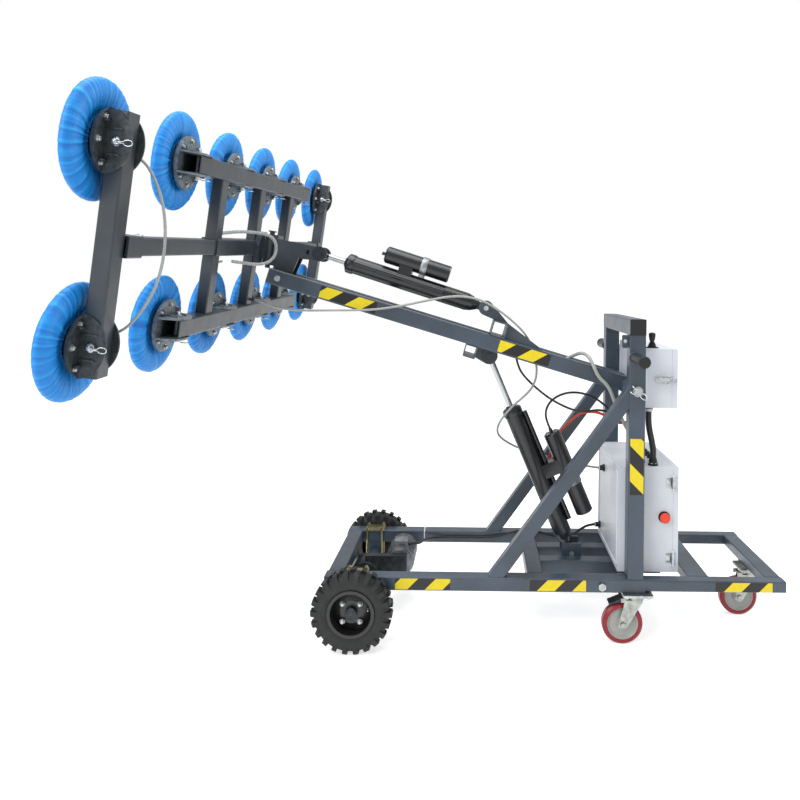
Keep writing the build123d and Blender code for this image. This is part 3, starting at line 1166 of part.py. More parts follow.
def boom_hoses():
    """The grey hose from the head over the boom to the cabinet, and the air hose over the near tube."""
    first = (head_place() * Pos(HEAD_PORT[0] + PORT_LENGTH, HEAD_PORT[1], HEAD_PORT[2])).position
    route = [first, (-868, 12, 1236), (-812, -24, 1223), (-745, -74, 1217), (-668, -108, 1215),
             (-585, -121, 1218), (-495, -121, 1219), (-395, -120, 1223), (-290, -119, 1240), (-187, -117, 1264),
             (-85, -114, 1282), (5, -106, 1270), (75, -92, 1232), (138, -76, 1184), (188, -54, 1136),
             (220, -30, 1085), (238, -20, 1024), (243, -22, 965), (226, -32, 914), (188, -52, 878),
             (146, -64, 846), (112, -60, 806), (90, -36, 768), (84, 2, 733), (94, 44, 700), (130, 74, 668),
             (185, 86, 640), (255, 90, 617), (330, 90, 600), (405, 86, 582), (465, 81, 571),
             (CABINET_X[0] - GLAND_LENGTH, FRONT_GLANDS[0][0], FRONT_GLANDS[0][1])]
    grey = flexible(route, SENSE_HOSE, "grey hose")
    start = BOOM_SPACERS[0] - SPACER_TUBE / 2 - PORT_LENGTH
    air = [boom_point(start, 0, 16), boom_point(348, -4, 13), boom_point(296, -3, 2), boom_point(258, 12, -12),
           boom_point(228, 42, -24), boom_point(204, 66, -50), boom_point(180, 66, -86), boom_point(156, 40, -114),
           boom_point(124, -2, -126), (514, -130, 936), (535, -136, 880), (556, -144, 826), (582, -150, 775),
           (612, -152, 732), (636, -151, 702), (AIR_GLAND[0], AIR_GLAND[1], CABINET_Z[1] + 26)]
    return [grey, flexible(air, AIR_HOSE, "air hose")]


def chassis_cables():
    """Cables from both actuators to the control box, the drive motor's cable, and the wrapped bundle."""
    top = BOX_Z[0] - 16
    left, middle, right = BOX_GLANDS_Y
    tilt = [boom_point(BOOM_SPACERS[0], -SPACER_TUBE / 2 - PORT_LENGTH, -16), (168, -12, 990), (196, 2, 950),
            (240, 8, 908), (290, -8, 870), (345, -34, 842), (396, -53, 825), (440, -63, 824), (482, -63, 832),
            (522, -63, 826), (558, -62, 801), (590, -61, 773), (626, -60, 766), (650, -60, 788), (655, -60, 820),
            (BOX_GLAND_X, left, top)]
    lift_end = ram_place(LIFT_BASE, LIFT_EYE) * Pos(LIFT_MOTOR_START + LIFT_MOTOR_LENGTH + PORT_LENGTH, 0,
                                                   LIFT_MOTOR_OFFSET)
    case = ram_place(LIFT_BASE, LIFT_EYE) * Pos(LIFT_MOTOR_START + LIFT_MOTOR_LENGTH * CASE_SHARE + RAM_CASE_LENGTH / 2,
                                               8 - RAM_MOTOR_RADIUS, LIFT_MOTOR_OFFSET / 2)
    lift = [lift_end.position, (285, -3, 775), (280, -5, 812), (294, -6, 848), (326, -6, 876), (372, -5, 892),
            (425, -4, 891), (478, -3, 873), (524, -2, 840), (560, -1, 801), (592, 0, 774), (627, 0, 767),
            (650, 0, 789), (655, 0, 821), (BOX_GLAND_X, middle, top)]
    out = case.position
    red = [out, (out.X - 1, 57, out.Z), (out.X + 1, 78, out.Z + 21), (out.X + 7, 80, out.Z + 53), (326, 76, 672),
           (346, 68, 712), (384, 57, 760), (428, 52, 796),
           (476, 51, 806), (520, 53, 797), (558, 56, 774), (592, 59, 756), (628, 60, 760), (650, 60, 787),
           (655, 60, 820), (BOX_GLAND_X, right, top)]
    drive = [(MOTOR_X + 26, 54, 247), (-252, 57, 248), (-232, 78, 243), (-225, 112, 237), (-220, 150, 230),
             (-202, 184, 225), (-170, 206, 222), (-125, 216, 221), (-50, 216, 222), (30, 217, 221), (95, 215, 226),
             (145, 209, 243), (195, 206, 257), (248, 205, 258), (298, 208, 245), (345, 212, 230), (392, 210, 228),
             (430, 200, 246), (458, 184, 275), (484, 173, 295),
             (CABINET_X[0] - GLAND_LENGTH, FRONT_GLANDS[1][0], FRONT_GLANDS[1][1])]
    bundle = [(BOX_GLAND_X, BUNDLE_TOP_Y, top), (653, -200, 822), (658, -199, 780), (669, -196, 736),
              (676, -192, 699), (BUNDLE_GLAND[0], BUNDLE_GLAND[1], CABINET_Z[1] + 26)]
    return [flexible(tilt, MOTOR_CABLE, "tilt cable"), flexible(lift, MOTOR_CABLE, "lift cable"),
            flexible(red, POWER_CABLE, "red cable"), flexible(drive, POWER_CABLE, "drive cable"),
            flexible(bundle, BUNDLE, "bundle")]


ALL_NODES = {
    "chassis_frame": chassis_frame,
    "mast_frame": mast_frame,
    "mast_braces": mast_braces,
    "tube_end_caps": tube_end_caps,
    "mast_pins": mast_pins,
    "side_grips": side_grips,
    "rail_hardware": rail_hardware,
    "rear_frame": rear_frame,
    "rear_castor_plate": rear_castor_plate,
    "axle_beam": axle_beam,
    "axle_clamps": axle_clamps,
    "drive_gearbox": drive_gearbox,
    "drive_motor": drive_motor,
    "drive_rim_near": lambda: drive_rim(-1),
    "drive_rim_far": lambda: drive_rim(1),
    "drive_tyre_near": lambda: drive_tyre(-1),
    "drive_tyre_far": lambda: drive_tyre(1),
    "castor_fork_near": lambda: castor_fork(MIDDLE_CASTOR_X, -RAIL_Y),
    "castor_fork_far": lambda: castor_fork(MIDDLE_CASTOR_X, RAIL_Y),
    "castor_fork_rear": lambda: castor_fork(REAR_CASTOR_X, 0),
    "castor_wheel_near": lambda: castor_wheel(MIDDLE_CASTOR_X, -RAIL_Y),
    "castor_wheel_far": lambda: castor_wheel(MIDDLE_CASTOR_X, RAIL_Y),
    "castor_wheel_rear": lambda: castor_wheel(REAR_CASTOR_X, 0),
    "castor_brake_near": lambda: castor_brake(MIDDLE_CASTOR_X, -RAIL_Y),
    "castor_brake_far": lambda: castor_brake(MIDDLE_CASTOR_X, RAIL_Y),
    "boom_frame": boom_frame,
    "boom_lugs": boom_lugs,
    "boom_pins": boom_pins,
    "lift_actuator_tube": lambda: ram_tube(LIFT_BASE, LIFT_EYE, LIFT_TUBE_LENGTH, (LIFT_MOTOR_START, LIFT_MOTOR_LENGTH),
                                           LIFT_MOTOR_OFFSET, LIFT_SENSOR_TURN, LIFT_TRAVEL),
    "lift_actuator_motor": lambda: ram_motor(LIFT_BASE, LIFT_EYE, (LIFT_MOTOR_START, LIFT_MOTOR_LENGTH), LIFT_MOTOR_OFFSET),
    "lift_actuator_rod": lambda: ram_rod(LIFT_BASE, LIFT_EYE, LIFT_TUBE_LENGTH, LIFT_TRAVEL, LUG_OUTER_Y),
    "tilt_actuator_tube": lambda: ram_tube(TILT_BASE, tilt_eye(), TILT_TUBE_LENGTH, (TILT_MOTOR_START, TILT_MOTOR_LENGTH),
                                           TILT_MOTOR_OFFSET, TILT_SENSOR_TURN, TILT_TRAVEL),
    "tilt_actuator_motor": lambda: ram_motor(TILT_BASE, tilt_eye(), (TILT_MOTOR_START, TILT_MOTOR_LENGTH), TILT_MOTOR_OFFSET),
    "tilt_actuator_rod": lambda: ram_rod(TILT_BASE, tilt_eye(), TILT_TUBE_LENGTH, TILT_TRAVEL, TUBE / 2 + PLATE),
    "tilt_lever": tilt_lever,
    "swing_block": swing_block,
    "head_frame": head_frame,
    "end_bar_near": lambda: end_bar(-1),
    "end_bar_far": lambda: end_bar(1),
    "cup_hubs_frame": lambda: cup_hubs("frame"),
    "cup_hubs_near": lambda: cup_hubs("near"),
    "cup_hubs_far": lambda: cup_hubs("far"),
    "cup_rubbers_frame": lambda: cup_rubbers("frame"),
    "cup_rubbers_near": lambda: cup_rubbers("near"),
    "cup_rubbers_far": lambda: cup_rubbers("far"),
    "cup_covers_frame": lambda: cup_covers("frame"),
    "cup_covers_near": lambda: cup_covers("near"),
    "cup_covers_far": lambda: cup_covers("far"),
    "cabinet_shell": cabinet_shell,
    "cabinet_door": cabinet_door,
    "battery_and_pump": battery_and_pump,
    "emergency_stop": emergency_stop,
    "control_box": control_box,
    "control_lid": control_lid,
    "control_latch": control_latch,
    "joystick": joystick,
    "near_bar_hose": near_bar_hose,
    "head_hoses": head_hoses,
    "boom_hoses": boom_hoses,
    "chassis_cables": chassis_cables,
}


# Each hose or cable node, with the nodes that carry the ports at its ends
CORD_PORTS = {
    "near_bar_hose": ("cup_hubs_near",),
    "head_hoses": ("head_frame",),
    "boom_hoses": ("head_frame", "boom_frame", "cabinet_shell"),
    "chassis_cables": ("boom_frame", "cabinet_shell", "control_box", "drive_motor", "lift_actuator_motor",
                       "lift_actuator_tube"),
}
CORD_NODES = tuple(CORD_PORTS)


def trimmed(cord, ports):
    """A cord without what its ports take up, so that its ends only touch them."""
    room = cord.bounding_box()
    for port in ports:
        near = port.bounding_box()
        if all(a < b for a, b in zip(room.min, near.max)) and all(a < b for a, b in zip(near.min, room.max)):
            cord = cord - port
    return max(cord.solids(), key=lambda solid: solid.volume)


def main():
    """Make every node, put the origin at the machine's bottom centre and write one file for each."""
    os.makedirs("parts", exist_ok=True)
    made = {name: make() for name, make in ALL_NODES.items()}
    for name, carriers in CORD_PORTS.items():
        ports = [piece for carrier in carriers for piece in made[carrier]]
        made[name] = [trimmed(piece, ports) for piece in made[name]]
    box = Compound([piece for name, pieces in made.items() if name not in CORD_NODES for piece in pieces]).bounding_box()
    centre = box.center()
    print("the frame's origin is at", round(centre.X, 4), round(centre.Y, 4), round(box.min.Z, 4), "size", box.size)
    shift = Pos(-centre.X, -centre.Y, -box.min.Z)
    for name, pieces in made.items():
        export_step(Compound([shift * piece for piece in pieces]), os.path.join("parts", name + ".step"))


if __name__ == "__main__":
    main()
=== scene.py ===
"""Looks of the glass panel lifter: camera, hoses, cloth covers, fittings and finishes.

Lengths are written in millimetres in the machine's own numbers, as in its source, and metres() turns them
into the frame's metres. A new piece is a surface worked out with numpy: a grid of points over two
parameters, or a section carried along a path."""
import math
import bpy
import bmesh
import numpy as np
from mathutils import Matrix, Vector


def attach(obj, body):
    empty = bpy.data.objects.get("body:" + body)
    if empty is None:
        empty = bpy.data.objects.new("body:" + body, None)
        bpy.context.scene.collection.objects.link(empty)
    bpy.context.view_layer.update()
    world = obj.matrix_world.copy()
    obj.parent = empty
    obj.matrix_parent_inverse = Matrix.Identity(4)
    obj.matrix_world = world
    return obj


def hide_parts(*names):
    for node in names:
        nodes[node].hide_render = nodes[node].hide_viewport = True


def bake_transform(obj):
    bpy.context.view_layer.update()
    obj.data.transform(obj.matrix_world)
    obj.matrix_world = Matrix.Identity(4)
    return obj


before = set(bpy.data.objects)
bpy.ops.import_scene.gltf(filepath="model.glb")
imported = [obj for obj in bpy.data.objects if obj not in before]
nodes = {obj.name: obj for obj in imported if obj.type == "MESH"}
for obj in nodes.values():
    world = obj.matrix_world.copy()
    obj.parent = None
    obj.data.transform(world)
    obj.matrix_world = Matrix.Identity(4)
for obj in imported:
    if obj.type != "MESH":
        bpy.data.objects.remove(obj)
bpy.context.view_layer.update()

# The frame's origin in the machine's numbers, then half the chassis's width and the rails' centre lines
ORIGIN = np.array([43.5643, 2.2776, 0.0])
HALF, RAIL_Y, RAIL_Z = 285.0, 255.0, 219.0
# Pins in x and z, the boom's slope, the tilt pin's distance along it, and the head's turns in degrees
BOOM_PIVOT, BOOM_SLOPE, TILT_ALONG = (592.0, 938.0), math.radians(16.27), 1435.0
LIFT_BASE, LIFT_EYE, TILT_BASE = (388.0, 250.0), (48.0, 1039.0), (34.0, 1231.0)
HEAD_TILT, HEAD_SWING, HEAD_ROLL = 8.1, -0.9, 3.1
# Cups: the rows' height from the head's middle, their spacing, the end bars' y, and the hub's pin on its axis
ROW, PITCH, END_Y, CUP_PIN = 264.0, 417.0, 1092.0, 70
# Cables end here, under the control box
BOX_CABLE_Z = 853.0
# The side grips' line, the drive wheels' axle, and the cabinet's front, near and top walls
GRIP_X, GRIP_Z, AXLE_X, AXLE_Z, WHEEL_Y = 582, 1061, -440, 146, 342
CABINET_FRONT, CABINET_NEAR, CABINET_TOP = 538, -222, 645


def metres(points):
    """The machine's millimetres as the frame's metres: less the origin, over a thousand."""
    return (np.asarray(points, float) - ORIGIN) / 1000.0


def move(x, y, z):
    place = np.eye(4)
    place[:3, 3] = (x, y, z)
    return place


def turn(axis, degrees):
    """A turn about one axis, by the right-hand rule."""
    place = np.eye(4)
    place[:3, :3] = np.array(Matrix.Rotation(math.radians(degrees), 3, axis))
    return place


def put(place, points):
    """Points carried by a place: the turn times each point, plus the shift."""
    points = np.asarray(points, float)
    return points @ place[:3, :3].T + place[:3, 3]


def boom_point(along, above, y=0.0):
    """A point on the boom: a distance from the mast pivot along its slope, and a height square to it."""
    c, s = math.cos(BOOM_SLOPE), math.sin(BOOM_SLOPE)
    return (BOOM_PIVOT[0] - along * c + above * s, y, BOOM_PIVOT[1] + along * s + above * c)


LEVER = move(*boom_point(TILT_ALONG, 0)) @ turn("Y", HEAD_TILT)
SWING = LEVER @ move(-80, 0, 108) @ turn("Z", HEAD_SWING)
HEAD = SWING @ move(-145, 0, 0) @ turn("X", HEAD_ROLL)


def ram_frame(base, eye):
    """x from the base pin to the rod's eye, z to the motor's side."""
    run = np.array([eye[0] - base[0], 0.0, eye[1] - base[1]])
    run /= np.linalg.norm(run)
    side = np.cross(run, (0, 1, 0))
    if (side[2] < 0 and abs(run[0]) > abs(run[2])) or (run[2] > abs(run[0]) and side[0] < 0):
        side = -side
    place = np.eye(4)
    place[:3, 0], place[:3, 1], place[:3, 2], place[:3, 3] = run, np.cross(side, run), side, (base[0], 0,
            base[1])
    return place


eye = put(LEVER, [[131, 0, 121]])[0]
LIFT_RAM, TILT_RAM = ram_frame(LIFT_BASE, LIFT_EYE), ram_frame(TILT_BASE, (eye[0], eye[2]))


# Finishes

def linear(hex_colour):
    """An sRGB hex value as linear red, green, blue and 1."""
    values = [int(hex_colour[i:i + 2], 16) / 255 for i in (1, 3, 5)]
    return [v / 12.92 if v <= 0.04045 else ((v + 0.055) / 1.055) ** 2.4 for v in values] + [1.0]


def add(tree, kind, settings=None, links=None):
    """One node with its settings, which are attributes or socket values, and the sockets that feed it."""
    made = tree.nodes.new("ShaderNode" + kind)
    for key, value in (settings or {}).items():
        if isinstance(key, str) and hasattr(made, key):
            setattr(made, key, value)
        else:
            made.inputs[key].default_value = value
    for key, socket in (links or {}).items():
        tree.links.new(socket, made.inputs[key])
    return made


def finish(name, colour, roughness, metallic=0.0, **sockets):
    """A material with one shader. Returns it, its tree, its shader and its Object coordinates in metres."""
    material = bpy.data.materials.new(name)
    material.use_nodes = True
    tree = material.node_tree
    tree.nodes.clear()
    shader = add(tree, "BsdfPrincipled", {"Base Color": linear(colour), "Roughness": roughness,
                                          "Metallic": metallic})
    for key, value in sockets.items():
        shader.inputs[key.replace("_", " ")].default_value = value
    out = add(tree, "OutputMaterial")
    tree.links.new(shader.outputs[0], out.inputs[0])
    place = add(tree, "TexCoord").outputs["Object"]
    return material, tree, shader, place


def mottled(tree, shader, place, colours, size_mm, spread=(0.35, 0.65), detail=4.0):
    """Two or three colours that drift into each other in patches of the given size."""
    noise = add(tree, "TexNoise", {"Scale": 1000.0 / size_mm, "Detail": detail}, {"Vector": place})
    ramp = add(tree, "ValToRGB", None, {"Fac": noise.outputs[0]})
    steps = ramp.color_ramp.elements
    steps[0].position, steps[1].position = spread
    steps[0].color, steps[1].color = linear(colours[0]), linear(colours[-1])
    tree.links.new(ramp.outputs[0], shader.inputs["Base Color"])
    return ramp


def rough_patches(tree, shader, place, size_mm, low, high):
    """Gloss that varies over patches of the given size, as handling and dust leave it."""
    noise = add(tree, "TexNoise", {"Scale": 1000.0 / size_mm, "Detail": 5.0}, {"Vector": place})
    span = add(tree, "MapRange", {"To Min": low, "To Max": high}, {"Value": noise.outputs[0]})
    tree.links.new(span.outputs[0], shader.inputs["Roughness"])


def grain(tree, shader, place, size_mm, height_mm, strength=0.5):
    """A fine bump from noise of the given grain and height."""
    noise = add(tree, "TexNoise", {"Scale": 1000.0 / size_mm, "Detail": 2.0}, {"Vector": place})
    bump = add(tree, "Bump", {"Strength": strength, "Distance": height_mm / 1000},
               {"Height": noise.outputs[0]})
    tree.links.new(bump.outputs[0], shader.inputs["Normal"])
    return bump


def slate_enamel(name="slate_enamel", colours=("#36414b", "#435160")):
    # Sprayed polyester enamel on mild steel tube: satin, with a faint orange peel, dust and hand marks.
    m, t, s, p = finish(name, colours[0], 0.36, Coat_Weight=0.2, Coat_Roughness=0.2)
    mottled(t, s, p, colours, 160)
    rough_patches(t, s, p, 45, 0.28, 0.5)
    grain(t, s, p, 3.0, 0.12, 0.35)
    return m


def white_powder_coat():
    # Powder coat on sheet steel: fine texture of about a millimetre, softly glossy.
    m, t, s, p = finish("white_powder_coat", "#d9dee6", 0.42)
    mottled(t, s, p, ("#d3d9e2", "#e1e5eb"), 220)
    grain(t, s, p, 2.2, 0.1, 0.4)
    return m


def gloss_black(name="black_anodised_tube", colour="#0e1217", roughness=0.28):
    # Black coated actuator tube: smooth and glossy, bluish where the sky catches it.
    m, t, s, p = finish(name, colour, roughness, Coat_Weight=0.3, Coat_Roughness=0.15)
    rough_patches(t, s, p, 30, roughness - 0.06, roughness + 0.14)
    grain(t, s, p, 1.6, 0.03, 0.3)
    return m


def bright_zinc(name="bright_zinc", colours=("#9da2a4", "#c3c7c8"), roughness=(0.28, 0.5)):
    # Electroplated zinc on pressed steel: pale, slightly cloudy metal.
    m, t, s, p = finish(name, colours[1], 0.38, 1.0)
    mottled(t, s, p, colours, 18)
    rough_patches(t, s, p, 9, *roughness)
    grain(t, s, p, 1.2, 0.03, 0.3)
    return m


def parted(tree, shader, place, axis, edge_mm, inner, outer):
    """Two colours parted at a distance from an axis along y through a point in x and z. Returns the outer
    colour's share."""
    centre = metres((axis[0], 0, axis[1]))
    shift = add(tree, "Mapping", {"Location": (-centre[0], 0, -centre[2])}, {"Vector": place})
    flat = add(tree, "VectorMath", {"operation": "MULTIPLY", 1: (1, 0, 1)}, {0: shift.outputs[0]})
    away = add(tree, "VectorMath", {"operation": "LENGTH"}, {0: flat.outputs[0]})
    share = add(tree, "MapRange", {"From Min": edge_mm / 1000, "From Max": (edge_mm + 1) / 1000},
                {"Value": away.outputs["Value"]})
    colour = add(tree, "Mix", {"data_type": "RGBA", 6: linear(inner), 7: linear(outer)},
                 {0: share.outputs[0]})
    tree.links.new(colour.outputs[2], shader.inputs["Base Color"])
    return share


def chromed_rod(name="chromed_rod", eye_at=None):
    # Hard chrome, ground and polished. The forged eye at a rod's end is enamelled.
    m, t, s, p = finish(name, "#b2b5b7", 0.2, 1.0)
    rough_patches(t, s, p, 12, 0.14, 0.28)
    if eye_at is not None:
        bare = parted(t, s, p, eye_at, 32.5, "#262d34", "#b2b5b7")
        t.links.new(bare.outputs[0], s.inputs["Metallic"])
    return m


def cast_hub(name="painted_casting", colours=("#2c3133", "#4d5456")):
    # Sand cast hub under thin grey paint: coarse grit of two millimetres and rubbed high spots.
    m, t, s, p = finish(name, colours[0], 0.5, 0.35)
    mottled(t, s, p, colours, 14, (0.3, 0.72), 6)
    rough_patches(t, s, p, 6, 0.32, 0.62)
    grain(t, s, p, 2.4, 0.35, 0.6)
    return m


def die_cast_aluminium(name="die_cast_aluminium", colours=("#7d8287", "#a9adb1")):
    # Die cast motor case: silvery and matt, darker in random patches.
    m, t, s, p = finish(name, colours[1], 0.42, 0.85)
    mottled(t, s, p, colours, 25)
    grain(t, s, p, 1.8, 0.12, 0.4)
    return m


def tyre_rubber():
    # Carbon black rubber, moulded: matt, greyer in random patches: part dust, part painted highlight.
    m, t, s, p = finish("tyre_rubber", "#151617", 0.62)
    mottled(t, s, p, ("#101112", "#232526"), 24, (0.35, 0.75))
    rough_patches(t, s, p, 12, 0.45, 0.78)
    grain(t, s, p, 2.0, 0.15, 0.5)
    return m


def moulded_black(name="moulded_black_plastic", colour="#111214", roughness=0.5):
    # Black polyamide or ABS with a fine moulded grain.
    m, t, s, p = finish(name, colour, roughness)
    rough_patches(t, s, p, 8, roughness - 0.1, roughness + 0.12)
    grain(t, s, p, 1.0, 0.04, 0.4)
    return m


def red_button():
    # Moulded polycarbonate mushroom head: bright orange red with a soft gloss.
    m, t, s, p = finish("red_button", "#f0421c", 0.32)
    rough_patches(t, s, p, 7, 0.25, 0.4)
    return m


def castor_tread(x, name):
    # Red polyurethane cast on a pale grey core, parted at the core's radius from the axle.
    m, t, s, p = finish(name, "#8f1220", 0.34)
    parted(t, s, p, (x, 75.0), 56.5, "#a9aba6", "#8f1220")
    grain(t, s, p, 1.5, 0.05, 0.3)
    return m


def hazard_vinyl():
    # Self-adhesive vinyl in slanting bands of 65 mm, yellow and black, along the piece's own map in metres.
    m, t, s, p = finish("hazard_vinyl", "#e6cf2a", 0.3)
    uv = add(t, "TexCoord").outputs["UV"]
    split = add(t, "SeparateXYZ", None, {0: uv})
    lean = add(t, "Math", {"operation": "MULTIPLY_ADD", 1: 1.0}, {0: split.outputs[1], 2: split.outputs[0]})
    turns = add(t, "Math", {"operation": "DIVIDE", 1: 0.130}, {0: lean.outputs[0]})
    part = add(t, "Math", {"operation": "FRACT"}, {0: turns.outputs[0]})
    band = add(t, "Math", {"operation": "GREATER_THAN", 1: 0.5}, {0: part.outputs[0]})
    worn = add(t, "TexNoise", {"Scale": 60.0, "Detail": 5.0}, {"Vector": p})
    yellow = add(t, "Mix", {"data_type": "RGBA", 6: linear("#f7e21a"), 7: linear("#e6cb12")},
                 {0: worn.outputs[0]})
    colour = add(t, "Mix", {"data_type": "RGBA", 7: linear("#121212")},
                 {0: band.outputs[0], 6: yellow.outputs[2]})
    t.links.new(colour.outputs[2], s.inputs["Base Color"])
    rough_patches(t, s, p, 20, 0.24, 0.42)
    return m


def blue_nonwoven():
    # Spun polypropylene cover cloth: thin, bright blue, with a point-bonded grain.
    #     # Its colour has painted shade in the fold hollows and a painted highlight on the ridges.
    m, t, s, p = finish("blue_nonwoven_cloth", "#1590e4", 0.5, Sheen_Weight=0.12, Sheen_Roughness=0.4)
    s.inputs["Sheen Tint"].default_value = linear("#9adcff")
    # The folds' depth picks the colour: painted shade in the hollows, painted highlight on the ridges
    fold_shading = add(t, "Attribute", {"attribute_name": "fold_shading"})
    ramp = add(t, "ValToRGB", None, {"Fac": fold_shading.outputs["Fac"]})
    steps = ramp.color_ramp.elements
    steps[0].position, steps[1].position = 0.1, 0.9
    steps[0].color, steps[1].color = linear("#0568bd"), linear("#1ea6f5")
    middle = steps.new(0.5)
    middle.color = linear("#0a8ae6")
    cloud = add(t, "TexNoise", {"Scale": 38.0, "Detail": 4.0}, {"Vector": p})
    mix = add(t, "Mix", {"data_type": "RGBA", 7: linear("#067ad6")}, {6: ramp.outputs[0]})
    soft = add(t, "MapRange", {"From Min": 0.45, "From Max": 0.8, "To Max": 0.55},
               {"Value": cloud.outputs[0]})
    t.links.new(soft.outputs[0], mix.inputs[0])
    t.links.new(mix.outputs[2], s.inputs["Base Color"])
    fine = add(t, "TexVoronoi", {"Scale": 700.0}, {"Vector": p})
    wrinkle = add(t, "TexNoise", {"Scale": 75.0, "Detail": 5.0, "Distortion": 0.6}, {"Vector": p})
    first = add(t, "Bump", {"Strength": 0.5, "Distance": 0.003}, {"Height": wrinkle.outputs[0]})
    bump = add(t, "Bump", {"Strength": 0.25, "Distance": 0.0004},
               {"Height": fine.outputs[0], "Normal": first.outputs[0]})
    t.links.new(bump.outputs[0], s.inputs["Normal"])
    return m


def hose_skin(name, colour, roughness=0.35, **sockets):
    # Extruded PVC or rubber: smooth, with slight clouding along it.
    m, t, s, p = finish(name, colour, roughness, **sockets)
    rough_patches(t, s, p, 14, roughness - 0.08, roughness + 0.12)
    grain(t, s, p, 2.5, 0.05, 0.3)
    return m


SLATE, WHITE, ZINC, CHROME = slate_enamel(), white_powder_coat(), bright_zinc(), chromed_rod()
HEAD_SLATE = slate_enamel("dark_slate_enamel", ("#272e34", "#333c44"))
YELLOW_ZINC = bright_zinc("yellow_passivated_zinc", ("#8f8a6c", "#b9b28c"), (0.3, 0.5))
DULL_ZINC = bright_zinc("dull_zinc_fork", ("#8e918d", "#b4b7b1"), (0.35, 0.55))
HUB, TOP_HUB, ALLOY = cast_hub(), cast_hub("bare_casting", ("#566067", "#8a959b")), die_cast_aluminium()
GEARCASE = die_cast_aluminium("dusty_gear_case", ("#2c3034", "#43484d"))
BLACK, RIM_BLACK = gloss_black(), gloss_black("rim_enamel", "#0b0b0d", 0.3)
PLASTIC, RUBBER = moulded_black(), moulded_black("cup_rubber", "#131313", 0.6)
TYRE, RED, TAPE, CLOTH = tyre_rubber(), red_button(), hazard_vinyl(), blue_nonwoven()
CLEAR_HOSE = hose_skin("clear_pvc_hose", "#b4bab8", 0.25, Transmission_Weight=0.25, IOR=1.5)
GREY_HOSE = hose_skin("grey_pvc_hose", "#a4a7a2", 0.35)
CABLE = hose_skin("rubber_cable", "#131315", 0.45)
RED_CABLE = hose_skin("red_cable", "#c8402c", 0.38)
NYLON = hose_skin("white_nylon", "#e4e6e4", 0.4)
WIRE = bright_zinc("spring_wire", ("#b5b8ba", "#d5d8da"), (0.18, 0.3))

painted = (
    (SLATE, "chassis_frame mast_frame mast_braces rear_frame axle_beam boom_frame boom_lugs"),
    (HEAD_SLATE, "tilt_lever swing_block head_frame end_bar_near end_bar_far"),
    (WHITE, "cabinet_shell cabinet_door control_box control_lid"),
    (ZINC, "mast_pins rail_hardware boom_pins control_latch"),
    (DULL_ZINC, "rear_castor_plate castor_fork_near castor_fork_far castor_fork_rear"),
    (YELLOW_ZINC, "axle_clamps"),
    (PLASTIC, "tube_end_caps battery_and_pump joystick"),
    (moulded_black("grip_plastic", "#1b2026", 0.42), "side_grips"),
    (GEARCASE, "drive_gearbox castor_brake_near castor_brake_far"),
    (ALLOY, "drive_motor"),
    (RIM_BLACK, "drive_rim_near drive_rim_far"),
    (TYRE, "drive_tyre_near drive_tyre_far"),
    (castor_tread(550, "castor_tread_near"), "castor_wheel_near"),
    (castor_tread(550, "castor_tread_far"), "castor_wheel_far"),
    (castor_tread(1071, "castor_tread_rear"), "castor_wheel_rear"),
    (BLACK, "lift_actuator_tube lift_actuator_motor tilt_actuator_tube tilt_actuator_motor"),
    (chromed_rod("lift_rod", LIFT_EYE), "lift_actuator_rod"),
    (chromed_rod("tilt_rod", (eye[0], eye[2])), "tilt_actuator_rod"),
    (TOP_HUB, "cup_hubs_frame"),
    (HUB, "cup_hubs_near cup_hubs_far"),
    (RUBBER, "cup_rubbers_frame cup_rubbers_near cup_rubbers_far"),
    (RED, "emergency_stop"),
)
for material, names in painted:
    for name in names.split():
        nodes[name].data.materials.clear()
        nodes[name].data.materials.append(material)


# Camera: at the photograph's height and distance, looking square at the machine's near side

camera = bpy.data.objects.new("photo_camera", bpy.data.cameras.new("photo_camera"))
bpy.context.scene.collection.objects.link(camera)
camera.data.lens, camera.data.sensor_width = 32.85, 36.0
camera.data.shift_x, camera.data.shift_y = -0.0975, -0.1425
camera.data.clip_end = 200
roll = 0.0117
right = (math.cos(roll), 0, math.sin(roll))
up = (-math.sin(roll), 0, math.cos(roll))
spot = metres((0, -2975, 1320))
camera.matrix_world = Matrix(((right[0], up[0], 0, spot[0]), (0, 0, -1, spot[1]),
                              (right[2], up[2], 0, spot[2]), (0, 0, 0, 1)))
bpy.context.scene.camera = camera
bpy.context.scene.view_settings.view_transform = "Standard"


# Hoses and cables: each follows the route of its solid, on one smooth spline

def hose(name, points, diameter, material, node, place=None, between=None):
    """A round hose on a NURBS line through the route's points, with its own real length. One that crosses a
    joint is made a mesh and is not attached to a body."""
    points = put(place, points) if place is not None else np.asarray(points, float)
    points = metres(points)
    curve = bpy.data.curves.new(name, "CURVE")
    curve.dimensions = "3D"
    curve.resolution_u = 10
    spline = curve.splines.new("NURBS")
    spline.points.add(len(points) - 1)
    spline.points.foreach_set("co", np.column_stack([points, np.ones(len(points))]).ravel())
    spline.order_u, spline.use_endpoint_u = 3, True
    piece = bpy.data.objects.new(name, curve)
    bpy.context.scene.collection.objects.link(piece)
    line = bpy.data.meshes.new_from_object(piece)
    curve.bevel_depth, curve.bevel_resolution, curve.use_fill_caps = diameter / 2000, 4, True
    if between:
        mesh = bpy.data.meshes.new_from_object(piece)
        bpy.data.objects.remove(piece)
        piece = bpy.data.objects.new(name, mesh)
        bpy.context.scene.collection.objects.link(piece)
        mesh.polygons.foreach_set("use_smooth", np.ones(len(mesh.polygons), bool))
    piece.data.materials.clear()
    piece.data.materials.append(material)
    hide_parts(node)
    if between:
        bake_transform(piece)
    return piece


